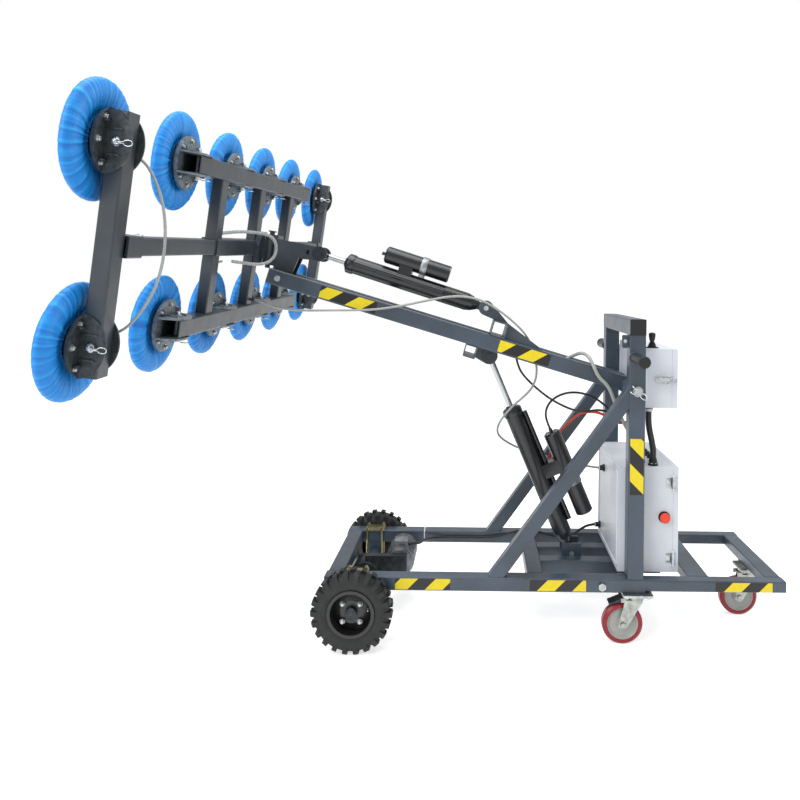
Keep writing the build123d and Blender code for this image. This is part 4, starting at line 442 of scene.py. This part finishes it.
# The near end bar's ports are this far above and below the head's middle
BAR_PORT = 245.0
near_bar = hose("near_bar_hose_line", [(56, -1037, BAR_PORT), (95, -1037, 238), (135, -1036, 190),
                                       (165, -1034, 125), (182, -1036, 50), (185, -1037, -30),
                                       (172, -1036, -105), (140, -1037, -175), (97, -1037, -232),
                                       (56, -1037, -BAR_PORT)], 8, CLEAR_HOSE,
                "near_bar_hose", HEAD)
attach(near_bar, "arm_near")
head_loop = hose("head_loop_line", [(70, -371, 48), (76, -335, 51), (103, -299, 60), (136, -261, 66),
                                    (177, -206, 67), (202, -173, 57), (215, -154, 28), (216, -152, -8),
                                    (204, -169, -37), (183, -198, -50), (159, -230, -53), (130, -264, -51),
                                    (100, -290, -50)], 12, CLEAR_HOSE, "head_hoses",
                 HEAD)
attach(head_loop, "head")
lower_bar = hose("lower_bar_hose_line", [(76, -322, -53), (62, -342, -58), (57, -359, -80), (62, -369, -125),
                 (68, -371, -170), (68, -371, -218)], 8, CLEAR_HOSE, "head_hoses", HEAD)
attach(lower_bar, "head")

head_port = put(HEAD, [[106, 15, -215]])[0]
hose("grey_hose_line", [tuple(head_port), (-868, 12, 1236), (-812, -24, 1223),
                        (-745, -74, 1217), (-668, -108, 1215), (-585, -121, 1218),
                        (-495, -121, 1219), (-395, -120, 1223), (-290, -119, 1240),
                        (-187, -117, 1264), (-85, -114, 1282), (5, -106, 1270), (75, -92, 1232),
                        (138, -76, 1184), (188, -54, 1136), (220, -30, 1085), (238, -20, 1024),
                        (243, -22, 965), (226, -32, 914), (188, -52, 878), (146, -64, 846),
                        (112, -60, 806), (90, -36, 768), (84, 2, 733), (94, 44, 700),
                        (130, 74, 668), (185, 86, 640), (255, 90, 617), (330, 90, 600),
                        (405, 86, 582), (465, 81, 571), (514, 80, 566)], 9, GREY_HOSE,
     "boom_hoses", between=("boom", "chassis", (75, -92, 1232), (465, 81, 571)))
hose("air_hose_line", [boom_point(404, 0, 16), boom_point(348, -4, 13), boom_point(296, -3, 2),
                       boom_point(258, 12, -12), boom_point(228, 42, -24),
                       boom_point(204, 66, -50), boom_point(180, 66, -86),
                       boom_point(156, 40, -114), boom_point(124, -2, -126), (514, -130, 936),
                       (535, -136, 880), (556, -144, 826), (582, -150, 775), (612, -152, 732),
                       (636, -151, 702), (640, -150, 671)], 14, GREY_HOSE,
     "boom_hoses", between=("boom", "chassis", boom_point(300, 0), (612, -152, 732)))
hose("tilt_cable_line", [boom_point(440, -36, -16), (168, -12, 990), (196, 2, 950),
                         (240, 8, 908), (290, -8, 870), (345, -34, 842), (396, -53, 825),
                         (440, -63, 824), (482, -63, 832), (522, -63, 826), (558, -62, 801),
                         (590, -61, 773), (626, -60, 766), (650, -60, 788), (655, -60, 820),
                         (654, -60, BOX_CABLE_Z)], 9, CABLE,
     "chassis_cables", between=("boom", "chassis", (168, -12, 990), (590, -61, 773)))
lift_end = put(LIFT_RAM, [[488, 0, 114]])[0]
hose("lift_cable_line", [tuple(lift_end), (285, -3, 775), (280, -5, 812), (294, -6, 848),
                         (326, -6, 876), (372, -5, 892), (425, -4, 891), (478, -3, 873),
                         (524, -2, 840), (560, -1, 801), (592, 0, 774), (627, 0, 767),
                         (650, 0, 789), (655, 0, 821), (654, 0, BOX_CABLE_Z)], 9, CABLE,
     "chassis_cables",
     between=("lift_tube", "chassis", (280, -5, 812), (592, 0, 774)))
out = put(LIFT_RAM, [[338.08, -28, 57]])[0]
hose("red_cable_line", [tuple(out), (out[0] - 1, 57, out[2]), (out[0] + 1, 78, out[2] + 21),
                        (out[0] + 7, 80, out[2] + 53), (326, 76, 672), (346, 68, 712),
                        (384, 57, 760), (428, 52, 796), (476, 51, 806), (520, 53, 797),
                        (558, 56, 774), (592, 59, 756), (628, 60, 760), (650, 60, 787),
                        (655, 60, 820), (654, 60, BOX_CABLE_Z)], 11, RED_CABLE,
     "chassis_cables",
     between=("lift_tube", "chassis", (326, 76, 672), (592, 59, 756)))
drive_line = hose("drive_cable_line", [(-279, 54, 247), (-252, 57, 248), (-232, 78, 243), (-225, 112, 237),
                                       (-220, 150, 230), (-202, 184, 225), (-170, 206, 222),
                                       (-125, 216, 221), (-50, 216, 222), (30, 217, 221), (95, 215, 226),
                                       (145, 209, 243), (195, 206, 257), (248, 205, 258), (298, 208, 245),
                                       (345, 212, 230), (392, 210, 228), (430, 200, 246), (458, 184, 275),
                                       (484, 173, 295), (514, 170, 300)], 11, CABLE,
                  "chassis_cables")
bundle_line = hose("bundle_line", [(654, -200, BOX_CABLE_Z), (653, -200, 822), (658, -199, 780),
                                   (669, -196, 736), (676, -192, 699), (675, -190, 671)], 24, CABLE,
                   "chassis_cables")
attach(drive_line, "chassis")
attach(bundle_line, "chassis")


# Surfaces

def skin(name, points, material, body, wrap=(False, False), caps=False, place=None, smooth=True,
         values=None, uv=None):
    """A grid of points, rows by columns, as one mesh. wrap closes it along rows or columns, and caps fills
    the first and last rows with a fan to their middle."""
    points = np.asarray(points, float)
    rows, columns = points.shape[:2]
    flat = points.reshape(-1, 3)
    r = np.arange(rows if wrap[0] else rows - 1)
    c = np.arange(columns if wrap[1] else columns - 1)
    rr, cc = np.meshgrid(r, c, indexing="ij")
    r2, c2 = (rr + 1) % rows, (cc + 1) % columns
    faces = np.stack([rr * columns + cc, rr * columns + c2, r2 * columns + c2, r2 * columns + cc],
                     -1).reshape(-1, 4)
    faces = faces.tolist()
    if caps:
        for row in (0, rows - 1):
            middle = len(flat)
            flat = np.vstack([flat, points[row].mean(0)])
            ring = row * columns + np.arange(columns)
            faces += np.stack([ring, np.roll(ring, -1), np.full(columns, middle)], -1).tolist()
    if place is not None:
        flat = put(place, flat)
    mesh = bpy.data.meshes.new(name)
    mesh.from_pydata(metres(flat).tolist(), [], faces)
    if values is not None:
        store = mesh.attributes.new("fold_shading", "FLOAT", "POINT")
        store.data.foreach_set("value", np.asarray(values, np.float32).ravel())
    if uv is not None:
        layer = mesh.uv_layers.new(name="along")
        corner = np.empty(len(mesh.loops), np.int32)
        mesh.loops.foreach_get("vertex_index", corner)
        layer.data.foreach_set("uv", np.asarray(uv, np.float32).reshape(-1, 2)[corner].ravel())
    if caps or (wrap[0] and wrap[1]):
        shape = bmesh.new()
        shape.from_mesh(mesh)
        bmesh.ops.recalc_face_normals(shape, faces=shape.faces)
        shape.to_mesh(mesh)
        shape.free()
    mesh.polygons.foreach_set("use_smooth", np.full(len(mesh.polygons), smooth))
    mesh.materials.append(material)
    piece = bpy.data.objects.new(name, mesh)
    bpy.context.scene.collection.objects.link(piece)
    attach(piece, body)
    return piece


def sharp_edges(piece, degrees=35):
    """Smooth shading that breaks at edges sharper than the angle."""
    mesh = piece.data
    shape = bmesh.new()
    shape.from_mesh(mesh)
    limit = math.radians(degrees)
    for edge in shape.edges:
        edge.smooth = not (len(edge.link_faces) == 2 and edge.calc_face_angle(0.0) > limit)
    shape.to_mesh(mesh)
    shape.free()
    return piece


def ring(name, profile, material, body, slot, place, sides=32):
    """A turned piece about its x axis: each (x, radius) of the profile swept round a circle."""
    profile = np.asarray(profile, float)
    angle = np.linspace(0, 2 * np.pi, sides, endpoint=False)
    x = np.repeat(profile[:, :1], sides, 1)
    grid = np.stack([x, profile[:, 1:] * np.cos(angle), profile[:, 1:] * np.sin(angle)], -1)
    return sharp_edges(skin(name, grid, material, body, (False, True), True, place))


def carried(path, section, closed=False):
    """A section of (across, up) points carried along a path, kept square to it. Rows follow the path."""
    path = np.asarray(path, float)
    ahead = np.roll(path, -1, 0) - np.roll(path, 1, 0) if closed else np.gradient(path, axis=0)
    ahead /= np.linalg.norm(ahead, axis=1)[:, None]
    up_hint = np.array([0.0, 0.0, 1.0]) if abs(ahead[:, 2]).mean() < 0.8 else np.array([0.0, 1.0, 0.0])
    across = np.cross(ahead, up_hint)
    across /= np.linalg.norm(across, axis=1)[:, None]
    rise = np.cross(across, ahead)
    section = np.asarray(section, float)
    return path[:, None] + across[:, None] * section[None, :, :1] + rise[:, None] * section[None, :, 1:]


def disc_section(radius, sides=10):
    angle = np.linspace(0, 2 * np.pi, sides, endpoint=False)
    return np.column_stack([radius * np.cos(angle), radius * np.sin(angle)])


def wire(name, path, radius, material, body, place=None, closed=False):
    """A round wire along a path."""
    return skin(name, carried(path, disc_section(radius), closed), material, body, (closed, True),
                not closed, place)


def slab(name, outline, low, high, material, body, place, edge=0.6):
    """A flat plate from a convex outline in x and y, between two heights, with its edges eased."""
    outline = np.asarray(outline, float)
    centre = outline.mean(0)
    inset = centre + (outline - centre) * (1 - edge / np.abs(outline - centre).max())
    rows = [np.column_stack([inset, np.full(len(outline), low)]),
            np.column_stack([outline, np.full(len(outline), low + edge)]),
            np.column_stack([outline, np.full(len(outline), high - edge)]),
            np.column_stack([inset, np.full(len(outline), high)])]
    return sharp_edges(skin(name, np.array(rows), material, body, (False, True), True, place), 50)


def rectangle(x0, x1, y0, y1, corner=2.0, steps=4):
    """A rounded rectangle's outline, anticlockwise."""
    quarter = np.linspace(0, np.pi / 2, steps)
    points = []
    for cx, cy, start in ((x1 - corner, y1 - corner, 0), (x0 + corner, y1 - corner, 1),
                          (x0 + corner, y0 + corner, 2), (x1 - corner, y0 + corner, 3)):
        a = quarter + start * np.pi / 2
        points.append(np.column_stack([cx + corner * np.cos(a), cy + corner * np.sin(a)]))
    return np.vstack(points)


def joined(name, pieces):
    """Several pieces of one finish as one object."""
    bpy.ops.object.select_all(action="DESELECT")
    for piece in pieces:
        piece.select_set(True)
    bpy.context.view_layer.objects.active = pieces[0]
    bpy.ops.object.join()
    pieces[0].name = name
    pieces[0].data.name = name
    return pieces[0]


# Vacuum cups

def cup_list():
    """Every cup's name, body, node ending and place: four along each bar, and two on each end bar."""
    cups = []
    for row, z in (("lower", -ROW), ("upper", ROW)):
        for i in range(4):
            cups.append((f"{row}_{i + 1}", "head", "frame", HEAD @ move(0, (i - 1.5) * PITCH, z)))
        for side, turned_by in (("near", 90), ("far", -90)):
            y = -END_Y if side == "near" else END_Y
            cups.append((f"{row}_{side}", "arm_" + side, side, HEAD @ move(0, y, z) @ turn("X", turned_by)))
    return cups


# The cover's section: height along the cup's axis, and radius, from behind the lip to the elastic neck
COVER_PROFILE = np.array([(-13.2, 124), (-13.4, 136), (-12.8, 147), (-9, 153.5), (-2, 158), (6, 158.5),
                          (13, 154), (19, 145), (22.5, 133), (23, 119), (21, 106), (17, 94), (13, 84),
                          (10, 76), (8.8, 69), (9.6, 65), (12, 63)], float)
# No fold comes further forward than this, which keeps the cloth behind the cup's lip
COVER_FRONT = -13.9


def cloth_cover(seed):
    """A cloth ring turned from a profile, with radial folds: a wave in the angle, drawn out of step by slow
    waves, deepest at the elastic neck and shallow over the cup's rim, pushed along the surface's normal."""
    random = np.random.default_rng(seed)
    rows, columns = 46, 300
    reach = np.concatenate([[0], np.cumsum(np.linalg.norm(np.diff(COVER_PROFILE, axis=0), axis=1))])
    s = np.linspace(0, reach[-1], rows)
    x, r = np.interp(s, reach, COVER_PROFILE[:, 0]), np.interp(s, reach, COVER_PROFILE[:, 1])
    soft = np.array([0.25, 0.5, 0.25])
    for _ in range(2):
        x[1:-1], r[1:-1] = np.convolve(x, soft, "valid"), np.convolve(r, soft, "valid")
    angle = np.linspace(0, 2 * np.pi, columns, endpoint=False)
    slow = sum(random.uniform(0.03, 0.1) * np.sin(k * angle + random.uniform(0, 6.28)) for k in (2, 3, 5, 7))
    share = (s / reach[-1])[:, None]
    folds = np.zeros((rows, columns))
    for count, weight in ((17, 1.0), (29, 0.75), (46, 0.5), (71, 0.25)):
        phase = random.uniform(0, 6.28) + random.uniform(-0.8, 0.8) * share * 2
        wave = np.sin(count * (angle[None] + slow[None]) + phase)
        folds += weight * (1 - np.abs(wave) ** 0.8 * 1.4)
    local = np.sin(4 * angle + random.uniform(0, 6.28) + 3 * share)
    local = 0.55 + 0.45 * local * np.sin(3 * angle + random.uniform(0, 6.28))
    depth = np.interp(share[:, 0], [0, 0.16, 0.3, 0.45, 0.62, 0.82, 1.0],
                      [0.2, 0.5, 0.7, 0.9, 1.4, 2.4, 1.9])[:, None]
    push = folds * depth * (0.5 + local) * 0.8
    sway = 1 + 0.012 * np.sin(3 * angle + random.uniform(0, 6.28))
    sway += 0.008 * np.sin(5 * angle + random.uniform(0, 6.28))
    ahead_x, ahead_r = np.gradient(x), np.gradient(r)
    size = np.hypot(ahead_x, ahead_r)
    out_x, out_r = -ahead_r / size, ahead_x / size
    loose = np.interp(share[:, 0], [0, 0.3, 1], [0, 1, 0.6])[:, None]
    xs = x[:, None] + out_x[:, None] * push
    rs = r[:, None] * (1 + (sway[None] - 1) * loose) + out_r[:, None] * push
    xs = np.maximum(xs, COVER_FRONT)
    grid = np.stack([xs, rs * np.cos(angle), rs * np.sin(angle)], -1)
    # How far each point stands out of the folds, for the cloth's painted shade in hollows and painted
    # highlight on ridges
    fold_shading = np.clip(0.5 + push / (depth * 2.6), 0, 1)
    return grid, fold_shading


# Each cup's cloth cover, hub ribs, bosses and webs, bolts, washers and spring clip
for number, (tag, body, group, place) in enumerate(cup_list()):
    grid, fold_shading = cloth_cover(40 + number)
    cover = skin("cover_" + tag, grid, CLOTH, body, (False, True), False, place, values=fold_shading)
    shell = cover.modifiers.new("cloth", "SOLIDIFY")
    shell.thickness, shell.offset = 0.0012, -1.0
    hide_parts("cup_covers_" + group)

    casting = TOP_HUB if group == "frame" else HUB
    ribs = []
    for side in (-1, 1):
        outer = side * 36
        for y in (-33, 33):
            low, high = sorted((outer - side, outer + side * 5))
            ribs.append(slab(f"rib_{tag}_{side}_{y}", rectangle(38, 84, y - 2.5, y + 2.5, 2), low, high,
                             casting, body, place))
        low, high = sorted((outer - side, outer + side * 3))
        turned = np.linspace(0, 2 * np.pi, 28, endpoint=False)
        boss = np.column_stack([CUP_PIN + 15 * np.cos(turned), 15 * np.sin(turned)])
        ribs.append(slab(f"boss_{tag}_{side}", boss, low, high, casting, body, place))
        for y in (-1, 1):
            web = np.array([(39, y * 50 - 3), (39, y * 50 + 3), (52, y * 50 + 2), (52, y * 50 - 2)])
            low, high = sorted((outer - side, outer + side * 20))
            ribs.append(slab(f"web_{tag}_{side}_{y}", web, low, high, casting, body, place))
    joined("hub_ribs_" + tag, ribs)
    bolts = []
    for y, z in ((58, 46), (-58, 46), (0, 70), (58, -46), (-58, -46), (0, -70)):
        at = place @ move(40, y, z)
        bolts.append(ring(f"bolt_{tag}_{y}_{z}", [(-0.5, 9.5), (1.6, 9.5), (1.6, 6.4), (7, 6.2), (8.4, 4.6),
                                                  (8.6, 1.0)], ZINC, body, "zinc", at, 14))
    for side in (-1, 1):
        at = place @ move(CUP_PIN, 0, side * 39) @ turn("Y", -90 * side)
        bolts.append(ring(f"washer_{tag}_{side}", [(-0.4, 11.5), (1.8, 11.5), (2.2, 6.5), (10.4, 6.6),
                                                   (11.8, 5.2), (12, 0.8)], CHROME, body, "zinc", at, 20))
    joined("hub_bolts_" + tag, bolts)
    start = np.array([CUP_PIN, -7.0, 47.0 if group == "near" else -47.0])
    a = np.linspace(0.35, 2 * np.pi - 0.35, 26)
    bow = np.column_stack([34 - 12 * np.cos(a), 7 + 7.5 * np.sin(a), np.zeros(26)])
    clip = np.vstack([[(-10, 7, 0)], [(2, 7, 0)], [(14, 7.8, 0)], bow, [(14, 5.2, 1.2)], [(4, 0.4, 1.2)],
                      [(-2, -0.5, 1.2)]])
    wire("clip_" + tag, start + clip, 1.4, WIRE, body, place)


# Hazard tapes on the near faces

def tape(name, start, end, face_y, width, body, phase=0.0):
    """A thin strip on a near face from start to end in x and z. Its map is in metres, along it from a phase
    in millimetres, and across it."""
    start, end = np.array(start, float), np.array(end, float)
    run = end - start
    length = np.linalg.norm(run)
    along = run / length
    across = np.array([-along[1], along[0]])
    u = np.array([0.0, length])
    v = np.array([-width / 2, width / 2])
    rows, maps = [], []
    for depth in (0.0, 0.5):
        for vv in (v if depth == 0 else v[::-1]):
            line = [start + along * uu + across * vv for uu in u]
            rows.append([(p[0], face_y - 0.05 - (0.5 - depth), p[1]) for p in line])
            maps.append([((uu + phase) / 1000, -vv / 1000) for uu in u])
    grid = np.array(rows).transpose(1, 0, 2)
    uv = np.array(maps).transpose(1, 0, 2).reshape(-1, 2)
    uv = np.vstack([uv, [uv[:4].mean(0), uv[4:].mean(0)]])
    return skin(name, grid, TAPE, body, (False, True), True, smooth=False, uv=uv)


tape("tape_post", (593, 763), (593, 556), -HALF, 50, "chassis", 15)
tape("tape_rail_front", (-293, RAIL_Z), (-90, RAIL_Z), -HALF, 40, "chassis")
tape("tape_rail_middle", (203, RAIL_Z), (411, RAIL_Z), -HALF, 40, "chassis", 83)
tape("tape_rear", (890, 218), (1100, 218), -280.5, 34, "rear_frame", 83)
for name, x0, x1, phase in (("front", -621, -400, 0), ("rear", 85, 285, 25)):
    ends = [boom_point((BOOM_PIVOT[0] - x) / math.cos(BOOM_SLOPE), 0) for x in (x0, x1)]
    tape("tape_boom_" + name, ends[0][::2], ends[1][::2], -102, 46, "boom", phase)


# Actuators: silver bands, end rings and screws. Each has its motor's start along the tube, the motor's length
# and distance from the tube's axis, and the tube's length.

for tag, ram, start, length, offset, tube_length in (("lift", LIFT_RAM, 120, 352, 114, 628),
                                                     ("tilt", TILT_RAM, 183, 272, 82, 596)):
    body, band_at = tag + "_tube", start + length * 0.395 - 13
    ring(tag + "_motor_band", [(0, 36.3), (0, 38.2), (1, 38.8), (25, 38.8), (26, 38.2), (26, 36.3)], ALLOY,
         body, "motor_alu", ram @ move(band_at, 0, offset), 48)
    slab(tag + "_band_foot", rectangle(band_at + 1, band_at + 25, -20, 20, 3), 34, offset - 34, ALLOY, body,
         ram)
    ring(tag + "_gland_ring", [(0, 38), (0, 39.2), (3, 40), (24, 40), (28, 38)], BLACK, body, "black_paint",
         ram @ move(tube_length - 32, 0, 0), 48)
    ring(tag + "_wiper", [(0, 22), (6, 20), (8, 15), (8, 12.3)], PLASTIC, body, "black_plastic",
         ram @ move(tube_length, 0, 0), 32)
    screws = []
    for k in range(4):
        around = move(start + length - 2, 0, offset) @ turn("X", 45 + 90 * k) @ move(0, 0, 27)
        screws.append(ring(f"{tag}_screw_{k}", [(0, 3.6), (3.2, 3.6), (4, 2.8), (4, 1.6), (2.6, 1.2)], ZINC,
                           body, "zinc", ram @ around, 12))
    joined(tag + "_motor_screws", screws)


# Drive wheels: nuts and hub caps

for side, y in (("near", -1), ("far", 1)):
    wheel = move(AXLE_X, y * WHEEL_Y, AXLE_Z) @ turn("Z", 90 * y)
    parts = []
    for k in range(4):
        angle = math.radians(45 + 90 * k)
        at = wheel @ move(22, 44 * math.cos(angle), 44 * math.sin(angle))
        parts.append(ring(f"nut_{side}_{k}", [(-0.5, 9.6), (1.2, 9.6), (1.2, 8.2), (7, 8.0), (10, 5.6),
                                              (11, 1)], ZINC, "wheel_" + side, "zinc", at, 18))
    joined("wheel_nuts_" + side, parts)
    ring("hub_cap_" + side, [(29.5, 20.5), (31, 20.5), (32.5, 19), (32.5, 13), (31.2, 12), (31.2, 1)],
         GEARCASE, "wheel_" + side, "black_paint", wheel, 36)
    ring("valve_" + side, [(0, 4), (10, 4), (11, 3), (24, 2.8), (25, 1.6)], ZINC, "wheel_" + side, "zinc",
         wheel @ move(2, 60, 8), 12)


# Mast: pivot clip and grip ends

pivot = move(BOOM_PIVOT[0], -307, BOOM_PIVOT[1])
ring("pivot_end", [(-13.6, 16.5), (-13.6, 19.5), (-11.5, 19.5), (-11.5, 15.6), (-1, 15.6), (1.2, 13.6),
                   (1.4, 1)], ZINC, "chassis", "zinc", pivot @ turn("Z", -90), 32)
a = np.linspace(0.3, 2 * np.pi - 0.3, 28)
bow = np.column_stack([26 + 14 * np.cos(np.pi - a), np.zeros(28), 9 * np.sin(np.pi - a)])
clip = np.vstack([[(-30, 0, 3)], [(-12, 0, 2)], [(6, 0, 3)], bow[::-1], [(4, 0, -8)], [(-10, 0, -17)],
                  [(-22, 0, -19)]])
wire("pivot_clip", clip, 2.8, WIRE, "chassis", pivot @ turn("Y", 40) @ move(0, 8.5, 0))
for side in (-1, 1):
    ring(f"grip_end_{side}", [(-16, 20.4), (-14, 21.6), (4, 21.6), (7, 19), (7.5, 2)], PLASTIC, "chassis",
         "black_plastic", move(GRIP_X, side * 440, GRIP_Z) @ turn("Z", 90 * side), 32)
    ring(f"grip_collar_{side}", [(0, 24), (4, 24), (6, 20.3), (6, 20)], SLATE, "chassis", "frame_paint",
         move(GRIP_X, side * HALF, GRIP_Z) @ turn("Z", 90 * side), 32)

# Cabinet: the raised edge on its front wall, hinges and glands
front = move(CABINET_FRONT, 0, 0) @ np.array([[0, 0, -1, 0], [1, 0, 0, 0], [0, 1, 0, 0], [0, 0, 0, 1]], float)


def border(name, x0, x1, y0, y1, width, height, material, body, place):
    """A raised frame: a low arched section carried round a rounded rectangle."""
    outline = rectangle(x0, x1, y0, y1, 9, 6)
    path = np.column_stack([outline, np.zeros(len(outline))])
    section = [(-width / 2, -0.3), (width / 2, -0.3), (width / 2 - 1.5, height), (-width / 2 + 1.5, height)]
    return sharp_edges(skin(name, carried(path, section, True), material, body, (True, True), False,
                            place), 40)


border("front_panel_edge", -204, 204, 268, 628, 9, 3.2, WHITE, "chassis", front)
leaf = move(0, CABINET_NEAR, 0) @ turn("X", 90)
for z in (303.0, 587.0):
    slab(f"door_leaf_{z:.0f}", rectangle(749, 764, z - 17, z + 17, 2), 0.1, 1.9, ZINC, "door", leaf)
    slab(f"hinge_leaf_{z:.0f}", rectangle(719, 741, z - 17, z + 17, 2), -0.1, 1.8, ZINC, "chassis",
         leaf)
    parts = [ring(f"hinge_screw_{z:.0f}_{k}", [(0, 3.4), (1.2, 3.2), (1.8, 2.0), (1.2, 1.0)], ZINC,
                  "chassis", "zinc", move(727, -223.8, z + k * 10) @ turn("Z", -90), 12) for k in (-1, 1)]
    joined(f"hinge_screws_{z:.0f}", parts)
    ring(f"hinge_sleeve_{z:.0f}", [(-21.5, 6.2), (-21.5, 6.9), (21.5, 6.9), (21.5, 6.2)], ZINC, "door",
         "zinc", move(745.3, -229, z) @ turn("Y", -90), 24)
ring("stop_collar", [(0, 17), (0, 22), (3, 22), (4.4, 20.5), (4.4, 17)], PLASTIC, "chassis", "black_plastic",
     move(712, CABINET_NEAR, 457) @ turn("Z", -90), 36)
gland = [(-0.2, 15.5), (7, 15.5), (7.6, 13), (17, 13), (20, 11.8)]
for name, x, y, scale, end_radius in (("bundle", 675, -190, 1.25, 14.4), ("air", 640, -150, 1.0, 11.4)):
    profile = [(h, w * scale) for h, w in gland] + [(26.4, end_radius)]
    ring(name + "_gland", profile, PLASTIC, "chassis", "black_plastic",
         move(x, y, CABINET_TOP) @ turn("Y", -90), 24)
for k, (y, z) in enumerate(((80, 566), (170, 300))):
    ring(f"front_gland_{k}", [(-0.2, 15), (7, 15), (7, 10.6), (20, 10.6), (24.3, 8)], PLASTIC, "chassis",
         "black_plastic", move(CABINET_FRONT, y, z) @ turn("Z", 180), 24)
for k, y in enumerate((-200, -60, 0, 60)):
    size = 1.0 if k else 1.7
    ring(f"box_gland_{k}", [(-0.2, 10.5 * size), (5, 10.5 * size), (5, 9.4 * size), (13, 9.4 * size),
                            (16.3, 7.4 * size)], PLASTIC, "chassis", "black_plastic",
         move(654, y, 869) @ turn("Y", 90), 24)
spares = []
for k, y in enumerate((-150, -112, -74, -36, 2, 40)):
    spares.append(ring(f"spare_gland_{k}", [(-0.2, 11), (6, 11), (6, 9), (14, 9), (18, 7), (18.4, 1)],
                       PLASTIC, "chassis", "black_plastic", move(690, y, CABINET_TOP) @ turn("Y", -90), 18))
joined("spare_glands", spares)

# Joystick: base plate, bellows and knob
stick = move(669, -180, 1091) @ turn("Y", -90)
ring("joystick_base", [(-0.2, 25), (2, 25), (3.4, 23.5), (3.4, 14)], PLASTIC, "chassis", "black_plastic",
     stick, 36)
wave = np.linspace(0, 1, 41)
bellows = np.column_stack([3.6 + 21 * wave, 17.5 - 9 * wave + 1.6 * np.cos(wave * 8 * np.pi)])
ring("joystick_bellows", bellows, RUBBER, "joystick", "black_plastic", stick, 32)
ring("joystick_knob", [(26, 7.5), (30, 10.5), (44, 13), (52, 13.4), (56, 11.8), (58.5, 7), (59, 1)], PLASTIC,
     "joystick", "black_plastic", stick, 32)

# Latch: bail
bail = [(700, -247, 967), (716, -246, 967), (734, -243, 967), (744, -240, 967), (747, -239, 970),
        (747, -239, 980), (744, -240, 983), (734, -243, 983), (716, -246, 983), (700, -247, 983)]
wire("latch_bail", bail, 1.6, WIRE, "chassis")


# Cable ties

def tie(name, centre, half_y, half_z, body, place=None):
    """A nylon strap round a rectangular tube: a flat section carried round it, with its small head."""
    outline = rectangle(-half_y, half_y, -half_z, half_z, 4, 4)
    path = np.column_stack([np.zeros(len(outline)), outline])
    at = (place if place is not None else np.eye(4)) @ move(*centre)
    strap = skin(name, carried_flat(path), NYLON, body, (True, True), False, at)
    head = slab(name + "_head", rectangle(-3.2, 3.2, -4, 4, 1.5), -0.5, 4.5, NYLON, body,
                at @ move(0, 0, half_z + 0.8))
    return joined(name, [strap, head])


def carried_flat(path):
    """A band 4.6 wide and 1.2 thick that runs round a loop in the y z plane."""
    ahead = np.roll(path, -1, 0) - np.roll(path, 1, 0)
    ahead /= np.linalg.norm(ahead, axis=1)[:, None]
    out = np.cross(ahead, (1.0, 0, 0))
    corners = np.array([(-2.3, 0.05), (2.3, 0.05), (2.3, 1.25), (-2.3, 1.25)])
    return path[:, None] + np.array([1.0, 0, 0]) * corners[None, :, :1] + out[:, None] * corners[None, :, 1:]


tie("tie_far_rail", (-222, RAIL_Y, RAIL_Z), 30, 25, "chassis")
tie("tie_near_arm", (70, -960, 0), 30.4, 30.4, "arm_near", HEAD)


# Floor, backdrop and light

def stage_plane(name, corners, material):
    mesh = bpy.data.meshes.new(name)
    mesh.from_pydata(corners, [], [(0, 1, 2, 3)])
    mesh.materials.append(material)
    plane = bpy.data.objects.new(name, mesh)
    bpy.context.scene.collection.objects.link(plane)
    return plane


def studio_floor():
    """A pale floor that shows its shadow: mostly white of its own, with the light's share on top."""
    material = bpy.data.materials.new("studio_floor")
    material.use_nodes = True
    tree = material.node_tree
    tree.nodes.clear()
    diffuse = add(tree, "BsdfDiffuse", {"Color": (0.8, 0.8, 0.8, 1)})
    glow = add(tree, "Emission", {"Color": (1, 1, 1, 1), "Strength": 0.62})
    rays = add(tree, "LightPath")
    seen = add(tree, "Math", {"operation": "MAXIMUM"}, {0: rays.outputs["Is Camera Ray"],
                                                        1: rays.outputs["Is Glossy Ray"]})
    both = add(tree, "AddShader", None, {0: diffuse.outputs[0], 1: glow.outputs[0]})
    pick = add(tree, "MixShader", None, {0: seen.outputs[0], 1: diffuse.outputs[0], 2: both.outputs[0]})
    out = add(tree, "OutputMaterial", None, {0: pick.outputs[0]})
    return material


stage_plane("floor", [(-40, -40, 0), (40, -40, 0), (40, 40, 0), (-40, 40, 0)], studio_floor())
world = bpy.data.worlds.new("studio")
bpy.context.scene.world = world
world.use_nodes = True
tree = world.node_tree
tree.nodes.clear()
rays = add(tree, "LightPath")
seen = add(tree, "Math", {"operation": "MAXIMUM"}, {0: rays.outputs["Is Camera Ray"],
                                                    1: rays.outputs["Is Transmission Ray"]})
strength = add(tree, "MapRange", {"To Min": 0.62, "To Max": 1.0}, {"Value": seen.outputs[0]})
sky = add(tree, "Background", {"Color": (1, 1, 1, 1)}, {"Strength": strength.outputs[0]})
add(tree, "OutputWorld", None, {0: sky.outputs[0]})


def lamp(name, spot, aim, size, power):
    """A square soft light at a spot that faces an aim."""
    light = bpy.data.lights.new(name, "AREA")
    light.size, light.energy = size, power
    piece = bpy.data.objects.new(name, light)
    bpy.context.scene.collection.objects.link(piece)
    piece.location = spot
    piece.rotation_euler = (Vector(aim) - Vector(spot)).to_track_quat("-Z", "Y").to_euler()
    return piece


lamp("top_light", (-0.4, -0.6, 4.6), (0, 0, 0.6), 3.2, 120)
lamp("front_left", (-3.4, -3.8, 3.2), (0, 0, 0.8), 2.4, 110)
lamp("rear_right", (3.6, 1.6, 2.6), (0.3, 0, 0.6), 2.0, 60)
